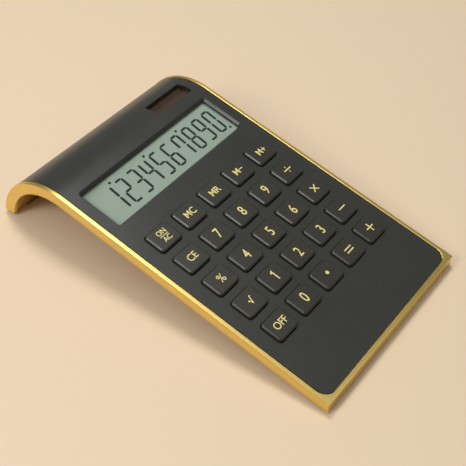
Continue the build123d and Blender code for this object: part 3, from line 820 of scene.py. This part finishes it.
    @staticmethod
    def dress(nodes: Iterable[str], finish: Surface) -> None:
        """Give CAD nodes their finish."""
        for node in nodes:
            Shop.paint(frame["nodes"][node], finish)
            LOG.info("%s: CAD node in %s", node, finish.name)


@dataclass
class Casing:
    """Gold frame, and the black face panel that lies in it."""

    half_width: float = 51.0
    frame_depth: float = 5.6
    front_height: float = 5.3
    rim: float = 1.9
    ledge: float = 1.6
    ledge_thickness: float = 1.2
    groove: float = 0.35
    sink: float = 0.2
    thickness: float = 1.4
    corner: float = 5.8
    edge_round: float = 0.35
    foot_round: float = 1.6
    foot_segments: int = 5
    edge_segments: int = 3
    corner_segments: int = 10
    wall_lean: float = 0.9
    face_lean: float = 0.3
    bead: float = 0.5
    wall_sink: float = 0.2
    skirt_wall: float = 1.0
    skirt_drop: float = 0.7
    overrun: float = 5.0

    @property
    def front(self) -> float:
        """Front edge of the body."""
        return -SLAB.straight

    @property
    def outside(self) -> Span:
        """The whole body down to the lower edge of the frame."""
        return Span(-self.half_width, self.half_width, self.front, SLAB.tail, 0, -self.frame_depth)

    @property
    def pocket(self) -> Span:
        """The space for the face panel in the frame."""
        bottom = -self.sink - self.thickness
        return self.outside.grown(-self.rim)._replace(top=self.overrun, bottom=bottom)

    def make(self, openings: "Openings") -> None:
        """Build the frame, and the panel with its openings."""
        self.make_frame()
        self.make_panel(openings)

    def blank(self) -> Mesh:
        """Solid block of the frame, with its upright front wall and its level foot."""
        ring = Shop.block(self.outside)
        SLAB.score(ring, Vector((0, 1, 0)), [0.0])
        for vert in ring.verts:
            if vert.co.z > -NEAR:
                continue
            if vert.co.y < -NEAR:
                vert.co.y -= self.front_height * math.sin(SLAB.tilt)
                vert.co.z = -self.front_height * math.cos(SLAB.tilt)
            elif vert.co.y > NEAR:
                vert.co.y = SLAB.level_tail(self.frame_depth)
        return ring

    @staticmethod
    def sideways(face: Face) -> float:
        """How far a face looks to the left, the right or the front."""
        return max(abs(face.normal.x), -face.normal.y)

    def outline(self, ring: Mesh) -> list[Edge]:
        """Edges where the outer walls meet the other faces, and the heel's upper edge."""
        found = []
        for edge in ring.edges:
            turns = sorted(self.sideways(face) for face in edge.link_faces)
            heel = min(vert.co.y for vert in edge.verts) > SLAB.tail - NEAR
            level = min(vert.co.z for vert in edge.verts) > -NEAR
            if (turns[0] < self.face_lean and turns[-1] > self.wall_lean) or (heel and level):
                found.append(edge)
        return found

    def make_frame(self) -> None:
        """Gold ring with its ledge, its rounded ridges and its slightly sunk walls."""
        ring = self.blank()
        heel = Shop.edges(
            ring, lambda first, last: min(first.y, last.y) > NEAR and max(first.z, last.z) < -NEAR
        )
        Shop.round_over(ring, heel, self.foot_round, self.foot_segments)
        ring.normal_update()
        walls = [face for face in ring.faces if self.sideways(face) > self.wall_lean]
        for inset, depth in ((self.bead, 0.0), (self.wall_sink, -self.wall_sink)):
            Shop.inset(ring, walls, inset, depth)
        ring.normal_update()
        Shop.round_over(ring, self.outline(ring), self.edge_round, self.edge_segments)
        low = -self.frame_depth - self.overrun
        opening = self.outside.grown(-self.rim - self.ledge)._replace(top=self.overrun, bottom=low)
        ledge_bottom = self.pocket.bottom - self.ledge_thickness
        below = self.outside.grown(-self.rim)._replace(top=ledge_bottom, bottom=low)
        pocket = Shop.flared(self.pocket, self.corner, 0.0, RIM_LIP, self.corner_segments)
        for tool in (Shop.block(opening), pocket, Shop.block(below)):
            ring = Shop.cut(ring, tool, Cut.AWAY)
        Shop.hand_over("gold_frame", ring, GOLD, slot="gold_frame", stands_for=["frame"])

    def make_panel(self, openings: "Openings") -> None:
        """Black face panel with its openings, bent over the arch."""
        edge = sum(rise for _, rise in PANEL_EDGE)
        outline = self.pocket.grown(-self.groove)._replace(top=-self.sink - edge)
        panel = Shop.block(outline, self.corner - self.groove, self.corner_segments)
        Shop.draw_out(panel, outline.top, PANEL_EDGE)
        skirt = openings.display.grown(self.skirt_wall)._replace(
            top=-self.sink - self.thickness / 2, bottom=self.pocket.bottom - self.skirt_drop
        )
        skirt_corner = openings.display_corner + self.skirt_wall
        panel = Shop.cut(panel, Shop.block(skirt, skirt_corner), Cut.ONTO)
        middles = [
            ((key.left + key.right) / 2, (key.front + key.rear) / 2) for key in openings.keys
        ]
        for direction, places in zip((Vector((1, 0, 0)), Vector((0, 1, 0))), zip(*middles)):
            SLAB.score(panel, direction, sorted(set(places)))
        panel = Shop.cut(panel, openings.cutters(-self.sink), Cut.AWAY)
        Shop.hand_over(
            "black_face_panel", panel, BLACK_PANEL, slot="black_panel", stands_for=["face_panel"]
        )


@dataclass
class Openings:
    """Openings of the face panel."""

    display: Span = Span(-42.6, 42.6, -26.2, -3.7, 5.0, -9.0)
    display_corner: float = 1.0
    solar: Span = Span(19.2, 43.7, 4.0, 13.2, 5.0, -9.0)
    solar_corner: float = 0.8
    key_gap: float = 0.25
    keys: list[Span] = field(default_factory=list)
    key_corner: float = 1.5

    def cutters(self, face: float) -> Mesh:
        """All that is cut away, in one mesh.

        Args:
            face: height of the panel's face.

        Returns:
            A new mesh of separate closed cutters.
        """
        parts = [
            Shop.flared(self.display, self.display_corner, face, BEZEL),
            Shop.flared(self.solar, self.solar_corner, face, SOFT_EDGE),
        ]
        top, bottom = self.display.top, self.display.bottom
        for key in self.keys:
            hole = key.grown(self.key_gap)._replace(top=top, bottom=bottom)
            parts.append(Shop.flared(hole, self.key_corner + self.key_gap, face, SOFT_EDGE))
        return Shop.join(parts)


class Legend(Enum):
    """What each key says: its rows of text, from the display down."""

    ON_AC = ("ON", "AC")
    MC = ("MC",)
    MR = ("MR",)
    M_MINUS = ("M−",)
    M_PLUS = ("M+",)
    CE = ("CE",)
    DIGIT_7 = ("7",)
    DIGIT_8 = ("8",)
    DIGIT_9 = ("9",)
    DIVIDE = ("÷",)
    PERCENT = ("%",)
    DIGIT_4 = ("4",)
    DIGIT_5 = ("5",)
    DIGIT_6 = ("6",)
    MULTIPLY = ("×",)
    SQUARE_ROOT = ("root",)
    DIGIT_1 = ("one",)
    DIGIT_2 = ("2",)
    DIGIT_3 = ("3",)
    MINUS = ("−",)
    OFF = ("OFF",)
    DIGIT_0 = ("0",)
    DECIMAL_POINT = ("•",)
    EQUALS = ("=",)
    PLUS = ("+",)

    @property
    def body(self) -> str:
        """Name of the key's body and node in the frame."""
        return self.named("key")

    def named(self, kind: str) -> str:
        """Name of one kind of piece that belongs to this key."""
        return f"{kind}_" + self.name.lower().removeprefix("digit_")

    @property
    def is_digit(self) -> bool:
        """Whether the key carries a digit."""
        return self.name.startswith("DIGIT")

    @property
    def is_sign(self) -> bool:
        """Whether the key carries a sign made of straight bars."""
        return self in (Legend.DIVIDE, Legend.MULTIPLY, Legend.MINUS, Legend.PLUS, Legend.EQUALS)


@dataclass
class Keypad:
    """Twenty-five keys with their printed legends."""

    pitch_across: float = 17.5
    pitch_along: float = 15.4
    first_row: float = -43.8
    columns: int = 5
    width: float = 12.95
    length: float = 11.2
    corner: float = 1.5
    top: float = 1.4
    flange_top: float = -1.7
    flange_bottom: float = -2.3
    flange_reach: float = 0.7
    wall: float = 1.1
    stem: float = 2.2
    ink: float = 0.03
    digit_height: float = 5.0
    text_height: float = 3.4
    percent_height: float = 3.9
    point_height: float = 4.9
    small_height: float = 2.5
    digit_width_share: float = 0.80
    word_width_share: float = 0.94
    capital_share: float = 0.70
    letter_spacing: float = 0.95
    letter_swell: float = 0.03
    letter_facets: int = 6
    row_gap: float = 0.65
    divider_length: float = 4.8
    divider_stroke: float = 0.36
    root_line: Steps = ((-1.4, -0.2), (-0.8, 0.1), (-0.1, -1.6), (0.9, 1.6), (1.7, 1.6))
    root_stroke: float = 0.45
    one_line: Steps = ((-1.0, 1.4), (0.15, 2.25), (0.15, -2.5))
    one_stroke: float = 0.62
    sharpest_bend: float = 0.35
    dot_spread: float = 1.7
    sign_length: float = 4.7
    sign_stroke: float = 0.6
    equals_gap: float = 1.75
    print_across: float = 0.45
    print_along: float = 0.2

    def place(self, order: int) -> tuple[float, float]:
        """Centre of a key, counted row by row from the display."""
        row, column = divmod(order, self.columns)
        across = (column - (self.columns - 1) / 2) * self.pitch_across
        return across, self.first_row - row * self.pitch_along

    def span(self, order: int) -> Span:
        """Outline of a key with the heights of its cap."""
        across, along = self.place(order)
        half, end = self.width / 2, self.length / 2
        return Span(
            across - half, across + half, along - end, along + end, self.top, self.flange_top
        )

    def make(self) -> None:
        """Build every key and its legend."""
        blank = self.make_blank()
        for order, legend in enumerate(Legend):
            cap = Shop.moved(blank.copy(), *self.place(order), 0)
            name, body = legend.named("keycap"), legend.body
            Shop.hand_over(name, cap, BLACK_KEY, body, "black_key", [body])
            self.make_legend(order, legend)
        blank.free()

    def make_blank(self) -> Mesh:
        """A hollow keycap with its rounded top, flange and stem, centred on the origin."""
        outline = Span.centred(self.width / 2, self.length / 2, self.flange_top, self.flange_bottom)
        cap = Shop.block(outline.grown(self.flange_reach), self.corner + self.flange_reach)
        walls = self.top - self.flange_top - sum(rise for _, rise in KEY_EDGE)
        Shop.draw_out(cap, self.flange_top, [(self.flange_reach, 0.0), (0.0, walls), *KEY_EDGE])
        roof, below = self.top - self.wall, self.flange_bottom - self.wall
        hollow = outline.grown(-self.wall)._replace(top=roof, bottom=below)
        stem = Span.centred(self.stem, self.stem, roof + self.wall, below - self.wall)
        space = Shop.cut(Shop.block(hollow), Shop.block(stem), Cut.AWAY)
        return Shop.cut(cap, space, Cut.AWAY)

    def make_legend(self, order: int, legend: Legend) -> None:
        """Printed legend on the top of a key.

        Args:
            order: place of the key, counted row by row.
            legend: what the key says.
        """
        across, along = self.place(order)
        rows = legend.value
        if len(rows) == 2:
            ink = self.stacked(rows)
        elif legend is Legend.SQUARE_ROOT:
            ink = self.strokes(self.root_line, self.root_stroke)
        elif legend is Legend.DIGIT_1:
            ink = self.strokes(self.one_line, self.one_stroke)
        elif legend.is_sign:
            ink = self.sign(legend)
        else:
            ink = self.text(rows[0], self.height_of(legend))
        Shop.moved(ink, across + self.print_across, along + self.print_along, self.top)
        Shop.hand_over(legend.named("legend"), ink, GOLD_INK, legend.body, "black_key")

    def height_of(self, legend: Legend) -> float:
        """Height of a legend that is one line of text."""
        if legend is Legend.PERCENT:
            return self.percent_height
        if legend is Legend.DECIMAL_POINT:
            return self.point_height
        return self.digit_height if legend.is_digit else self.text_height

    def printed(self, length: float, turn: float = 0.0, along: float = 0.0) -> Mesh:
        """One straight printed bar.

        Args:
            length: length of the bar.
            turn: turn from level, in degrees.
            along: how far it lies above the middle of the key.

        Returns:
            A new mesh in slab millimetres.
        """
        bm = Shop.block(Span.centred(length / 2, self.sign_stroke / 2, self.ink / 2, -self.ink / 2))
        return Shop.moved(Shop.turned(bm, math.radians(turn)), 0, along, 0)

    def sign(self, legend: Legend) -> Mesh:
        """Sign of one of the four rules or the equals sign, made of straight bars."""
        long, gap = self.sign_length, self.equals_gap / 2
        if legend is Legend.PLUS:
            return Shop.cut(self.printed(long), self.printed(long, 90), Cut.ONTO)
        if legend is Legend.MULTIPLY:
            return Shop.cut(self.printed(long, 45), self.printed(long, -45), Cut.ONTO)
        if legend is Legend.EQUALS:
            return Shop.join([self.printed(long, along=gap), self.printed(long, along=-gap)])
        if legend is Legend.DIVIDE:
            rise = gap * self.dot_spread
            dots = [self.printed(self.sign_stroke, along=along) for along in (rise, -rise)]
            return Shop.join([self.printed(long), *dots])
        return self.printed(long)

    def text(self, words: str, height: float) -> Mesh:
        """Flat text with a little thickness, centred on the origin.

        Args:
            words: the text.
            height: height of a capital or a digit.

        Returns:
            A new mesh in slab millimetres.
        """
        curve = bpy.data.curves.new("text", "FONT")
        curve.body = words
        curve.size = height / self.capital_share
        curve.space_character = self.letter_spacing
        curve.offset = self.letter_swell
        curve.extrude = self.ink / 2
        curve.resolution_u = self.letter_facets
        piece = Shop.show("text", curve)
        bm = Shop.reopened(Shop.worked_out(piece))
        bpy.data.objects.remove(piece)
        bpy.data.curves.remove(curve)
        bmesh.ops.remove_doubles(bm, verts=bm.verts, dist=NEAR)
        spots = [[vert.co[axis] for vert in bm.verts] for axis in (0, 1)]
        Shop.moved(bm, *(-(min(line) + max(line)) / 2 for line in spots), 0)
        share = self.digit_width_share if words.isdigit() else self.word_width_share
        bmesh.ops.scale(bm, verts=bm.verts, vec=(share, 1, 1))
        return bm

    def stacked(self, rows: tuple[str, str]) -> Mesh:
        """Two rows of text with a bar between them."""
        rise = self.small_height / 2 + self.row_gap
        parts = [
            Shop.moved(self.text(words, self.small_height), 0, along, 0)
            for along, words in zip((rise, -rise), rows)
        ]
        half, end = self.divider_length / 2, self.divider_stroke / 2
        return Shop.join([*parts, Shop.block(Span.centred(half, end, self.ink / 2, -self.ink / 2))])

    def strokes(self, points: Steps, width: float) -> Mesh:
        """One bent stroke of even width.

        Args:
            points: corners of its middle line.
            width: width of the stroke.

        Returns:
            A new mesh in slab millimetres.
        """
        bm = bmesh.new()
        line = [bm.verts.new((x, y, -self.ink / 2)) for x, y in points]
        count = len(points)
        sides: list[list[bmesh.types.BMVert]] = [[], []]
        for index, vert in enumerate(line):
            before = line[max(index - 1, 0)].co
            after = line[min(index + 1, count - 1)].co
            arrive = (vert.co - before).normalized() if index else (after - vert.co).normalized()
            leave = (after - vert.co).normalized() if index < count - 1 else arrive
            square = Vector((-(arrive + leave).y, (arrive + leave).x, 0)).normalized()
            bend = max(square.dot(Vector((-arrive.y, arrive.x, 0))), self.sharpest_bend)
            reach = width / 2 / bend
            for side, sign in zip(sides, (1, -1)):
                side.append(bm.verts.new(vert.co + square * reach * sign))
        bmesh.ops.delete(bm, geom=line, context="VERTS")
        face = bm.faces.new(sides[0] + sides[1][::-1])
        raised = bmesh.ops.extrude_face_region(bm, geom=[face])
        top = [item for item in raised["geom"] if isinstance(item, bmesh.types.BMVert)]
        bmesh.ops.translate(bm, verts=top, vec=(0, 0, self.ink))
        return bm


@dataclass
class KeyMat:
    """Rubber mat under the keys: its sheet, a dome under each key and the dome's carbon pill."""

    keypad: Keypad
    half_width: float = 42.275
    margin: float = 1.5
    sheet_top: float = -3.4
    sheet_bottom: float = -3.9
    dome_top: float = -2.4
    dome_base_reach: float = 4.0
    dome_top_reach: float = 2.6
    wall: float = 0.4
    roof: float = 0.3
    post: float = 0.2
    pill_reach: float = 1.8
    pill_thickness: float = 0.2
    collar_hole: float = 1.55
    collar_columns: float = 1.5
    collar_rows: tuple[float, float] = (0.5, 3.5)
    hole_sides: int = 24
    hole_depth: float = 4.0
    pressed_share: float = 0.45

    @property
    def roof_bottom(self) -> float:
        """Height of the underside of a dome's roof."""
        return self.dome_top - self.roof

    @property
    def pill_top(self) -> float:
        """Height of the top of a pill, under the dome's post."""
        return self.roof_bottom - self.post

    @staticmethod
    def frustum(base_reach: float, top_reach: float, bottom: float, top: float) -> Mesh:
        """Square block that narrows towards its top, centred on the origin."""
        bm = Shop.block(Span.centred(base_reach, base_reach, top, bottom))
        upper = [vert for vert in bm.verts if vert.co.z > bottom + NEAR]
        share = top_reach / base_reach
        bmesh.ops.scale(bm, verts=upper, vec=(share, share, 1))
        return bm

    def hollow(self) -> Mesh:
        """Space inside a dome, down to the bottom of the sheet."""
        base, top = self.dome_base_reach - self.wall, self.dome_top_reach - self.wall
        return self.frustum(base, top, self.sheet_bottom, self.roof_bottom)

    def make_dome(self) -> Mesh:
        """Hollow dome with the post that presses its pill, centred on the origin."""
        base, top, reach = self.dome_base_reach, self.dome_top_reach, self.pill_reach
        outside = self.frustum(base, top, self.sheet_top, self.dome_top)
        post = Shop.block(Span.centred(reach, reach, self.dome_top, self.pill_top))
        return Shop.cut(outside, Shop.cut(self.hollow(), post, Cut.AWAY), Cut.AWAY)

    def make_sheet(self) -> Mesh:
        """Flat sheet, open under each dome and round the screw collars."""
        keypad = self.keypad
        front = keypad.span(len(Legend) - 1).front - self.margin
        rear, half = keypad.span(0).rear + self.margin, self.half_width
        sheet = Shop.block(Span(-half, half, front, rear, self.sheet_top, self.sheet_bottom))
        places = [keypad.place(order) for order in range(len(Legend))]
        openings = [Shop.moved(self.hollow(), *place, 0) for place in places]
        across = self.collar_columns * keypad.pitch_across
        for row in self.collar_rows:
            along = keypad.first_row - row * keypad.pitch_along
            for side in (-across, across):
                hole = bmesh.new()
                bmesh.ops.create_cone(
                    hole, cap_ends=True, segments=self.hole_sides, radius1=self.collar_hole,
                    radius2=self.collar_hole, depth=self.hole_depth,
                )
                openings.append(Shop.moved(hole, side, along, self.sheet_top))
        return Shop.cut(sheet, Shop.join(openings), Cut.AWAY)

    def make(self) -> None:
        """Build the sheet, and a dome and a pill under each key."""
        Shop.hand_over("rubber_mat_sheet", self.make_sheet(), SILICONE, stands_for=["key_mat"])
        reach, pill_bottom = self.pill_reach, self.pill_top - self.pill_thickness
        pill = Shop.block(Span.centred(reach, reach, self.pill_top, pill_bottom))
        kinds = (
            ("rubber_dome", self.make_dome(), SILICONE, "key_mat"),
            ("carbon_pill", pill, CARBON, "contact_pills"),
        )
        for order, legend in enumerate(Legend):
            across, along = self.keypad.place(order)
            for kind, blank, finish, node in kinds:
                bm = Shop.moved(blank.copy(), across, along, 0)
                piece = Shop.hand_over(legend.named(kind), bm, finish, stands_for=[node])
                joint = f"{legend.body}_press"
                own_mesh(piece)
        for _, blank, _, _ in kinds:
            blank.free()


class Segments(Enum):
    """Which of the seven bars each figure of the display shows."""

    ONE = "bc"
    TWO = "abged"
    THREE = "abgcd"
    FOUR = "fgbc"
    FIVE = "afgcd"
    SIX = "afgcde"
    SEVEN = "fabc"
    EIGHT = "abcdefg"
    NINE = "abcdfg"
    ZERO = "abcdef"


@dataclass
class Display:
    """Display: clear lens, liquid crystal glass and its figures."""

    window: Span
    lens_margin: float = 1.05
    lens_top: float = -2.3
    lens_thickness: float = 0.8
    glass_top: float = -3.1
    picture_rise: float = 0.03
    figure_pitch: float = 7.64
    figure_width: float = 5.3
    figure_height: float = 14.8
    upright_stroke: float = 1.3
    level_stroke: float = 1.15
    slant: float = 0.07
    first_centre: float = -31.65
    middle: float = -15.25
    joint_gap: float = 0.1
    mark: float = 1.3
    mark_rise: float = 1.0
    mark_corner_share: float = 0.5
    tip_share: float = 0.98
    lens_corner: float = 2.5
    lens_edge: float = 0.08

    def make(self) -> None:
        """Build the lens, and what the glass shows."""
        self.make_lens()
        self.make_figures()

    def make_lens(self) -> None:
        """Clear plate with rounded edges."""
        top, bottom = self.lens_top, self.lens_top - self.lens_thickness
        span = self.window.grown(self.lens_margin)._replace(top=top, bottom=bottom)
        lens = Shop.block(span, self.lens_corner)
        Shop.round_over(lens, Shop.top_edges(lens, span.bottom), self.lens_edge, 1)
        Shop.hand_over(
            "clear_lens_plate", lens, CLEAR, slot="clear_lens", stands_for=["display_lens"]
        )

    def bar(self, first: tuple[float, float], last: tuple[float, float]) -> Mesh:
        """One bar of a figure, pointed at both ends.

        Args:
            first: one end of its middle line.
            last: the other end.

        Returns:
            A new mesh.
        """
        start, end = Vector((*first, 0)), Vector((*last, 0))
        length = (end - start).length - 2 * self.joint_gap
        half = (self.level_stroke if abs(end.y - start.y) < NEAR else self.upright_stroke) / 2
        bm = Shop.block(Span.centred(length / 2, half, self.picture_rise, 0))
        Shop.round_over(bm, Shop.uprights(bm), half * self.tip_share, 1)
        turn = math.atan2(end.y - start.y, end.x - start.x)
        return Shop.moved(Shop.turned(bm, turn), *(start + end) / 2)

    def figure(self, shown: Segments) -> Mesh:
        """One figure centred on the origin, leaning a little."""
        x = (self.figure_width - self.upright_stroke) / 2
        y = (self.figure_height - self.level_stroke) / 2
        ends = {
            "a": ((-x, y), (x, y)),
            "b": ((x, 0), (x, y)),
            "c": ((x, -y), (x, 0)),
            "d": ((-x, -y), (x, -y)),
            "e": ((-x, -y), (-x, 0)),
            "f": ((-x, 0), (-x, y)),
            "g": ((-x, 0), (x, 0)),
        }
        whole = Shop.join(self.bar(*ends[name]) for name in shown.value)
        self.lean(whole)
        return whole

    def lean(self, bm: Mesh) -> None:
        """Slant a mesh to the right."""
        for vert in bm.verts:
            vert.co.x += vert.co.y * self.slant

    def make_figures(self) -> None:
        """Ten figures, three thousands marks and the point."""
        side, end = self.figure_pitch / 2, self.figure_height / 2
        for order, shown in enumerate(Segments):
            parts = [self.figure(shown)]
            if shown in (Segments.ONE, Segments.FOUR, Segments.SEVEN):
                parts.append(self.dot(side, end + self.mark_rise))
            if shown is Segments.ZERO:
                parts.append(self.dot(side, -end))
            across = self.first_centre + order * self.figure_pitch
            whole = Shop.moved(Shop.join(parts), across, self.middle, self.glass_top)
            Shop.hand_over(f"figure_{shown.name.lower()}", whole, LCD_DARK, slot="lcd")

    def dot(self, across: float, along: float) -> Mesh:
        """Small square mark."""
        half = self.mark / 2
        corner = half * self.mark_corner_share
        bm = Shop.block(Span.centred(half, half, self.picture_rise, 0), corner, 2)
        self.lean(Shop.moved(bm, across, along, 0))
        return bm


class Lamp(NamedTuple):
    """One soft light: its place, the point it faces, its width and length, and its power in watts.

    A light without a length is round.
    """

    name: str
    place: tuple[float, float, float]
    aim: tuple[float, float, float]
    width: float
    length: float
    power: float


LAMPS = (
    Lamp("main_light", (0.22, 0.31, 1.05), (0.0, 0.0, 0.0), 0.34, 0.0, 5.0),
    Lamp("ceiling", (-0.17, 0.0, 1.1), (-0.17, 0.0, 0.0), 1.5, 1.5, 4.6),
    Lamp("left_panel", (-0.62, 0.16, 0.58), (0.0, 0.0, 0.02), 0.24, 0.32, 2.7),
    Lamp("right_card", (1.6, 0.6, 0.25), (0.0, 0.0, 0.05), 1.6, 0.6, 2.2),
)


@dataclass
class Studio:
    """Table, lights and camera."""

    floor_colour: Colour = (0.75, 0.59, 0.41)
    room_colour: Colour = (1.0, 0.98, 0.95)
    room_level: float = 0.22
    camera_place: tuple[float, float, float] = (-0.254485, -0.172110, 0.319955)
    camera_turn: tuple[float, float, float] = (44.0469, -3.0807, -53.3170)
    image_size: float = 466.0
    focal_pixels: float = 975.7
    sensor: float = 36.0
    clip_start: float = 0.01
    floor_reach: float = 3.0
    floor_roughness: float = 0.7

    def make(self) -> None:
        """Set up everything round the object."""
        self.make_floor()
        self.make_room()
        for lamp in LAMPS:
            self.light(lamp)
        self.make_camera()
        bpy.context.scene.view_settings.view_transform = "Standard"

    def make_floor(self) -> None:
        """Plain pale table top."""
        bm = bmesh.new()
        bmesh.ops.create_grid(bm, x_segments=1, y_segments=1, size=self.floor_reach)
        floor = Shop.show("floor", Shop.settled("floor", bm))
        material = bpy.data.materials.new("pale_floor")
        material.use_nodes = True
        shader = material.node_tree.nodes["Principled BSDF"]
        shader.inputs["Base Color"].default_value = (*self.floor_colour, 1.0)
        shader.inputs["Roughness"].default_value = self.floor_roughness
        floor.data.materials.append(material)

    def make_room(self) -> None:
        """Dim even light from all round."""
        world = bpy.data.worlds.new("room")
        world.use_nodes = True
        background = world.node_tree.nodes["Background"]
        background.inputs[0].default_value = (*self.room_colour, 1.0)
        background.inputs[1].default_value = self.room_level
        bpy.context.scene.world = world

    def light(self, lamp: Lamp) -> None:
        """Hang one soft light."""
        source = bpy.data.lights.new(lamp.name, "AREA")
        source.shape = "RECTANGLE" if lamp.length else "DISK"
        source.size = lamp.width
        source.size_y = lamp.length or lamp.width
        source.energy = lamp.power
        piece = Shop.show(lamp.name, source)
        piece.location = lamp.place
        way = Vector(lamp.aim) - Vector(lamp.place)
        piece.rotation_euler = way.to_track_quat("-Z", "Y").to_euler()

    def make_camera(self) -> None:
        """Camera at the photograph's place and angle."""
        lens = bpy.data.cameras.new("camera")
        lens.sensor_width = self.sensor
        lens.lens = self.focal_pixels / self.image_size * self.sensor
        lens.clip_start = self.clip_start
        piece = Shop.show("camera", lens)
        piece.location = self.camera_place
        piece.rotation_euler = Euler([math.radians(angle) for angle in self.camera_turn], "XYZ")
        bpy.context.scene.camera = piece


PLAIN_NODES: dict[Surface, tuple[str, ...]] = {
    GOLD_LACQUER: ("back_cover", "battery_door"),
    LCD_GREY: ("lcd_glass",),
    FOAM: ("lcd_backing",),
    RIBBON: ("lcd_ribbon",),
    SMOKED: ("solar_window",),
    SOLAR: ("solar_cell",),
    RED_WIRE: ("solar_lead_positive",),
    BLACK_WIRE: ("solar_lead_negative",),
    BOARD: ("circuit_board",),
    RESIN: ("chip_blob", "clamp_diode"),
    CERAMIC: ("chip_capacitors",),
    NICKEL: ("battery_cell", "battery_contact_negative", "battery_contact_positive"),
    ZINC: ("battery_door_screw", "case_screws", "board_screws"),
    RUBBER: ("front_feet", "rear_feet"),
}


def main() -> None:
    """Build the calculator's looks piece by piece."""
    keypad = Keypad()
    openings = Openings(keys=[keypad.span(order) for order in range(len(Legend))])
    Casing().make(openings)
    keypad.make()
    KeyMat(keypad).make()
    Display(openings.display).make()
    for finish, nodes in PLAIN_NODES.items():
        Shop.dress(nodes, finish)
    Studio().make()


if __name__ == "__main__":
    main()
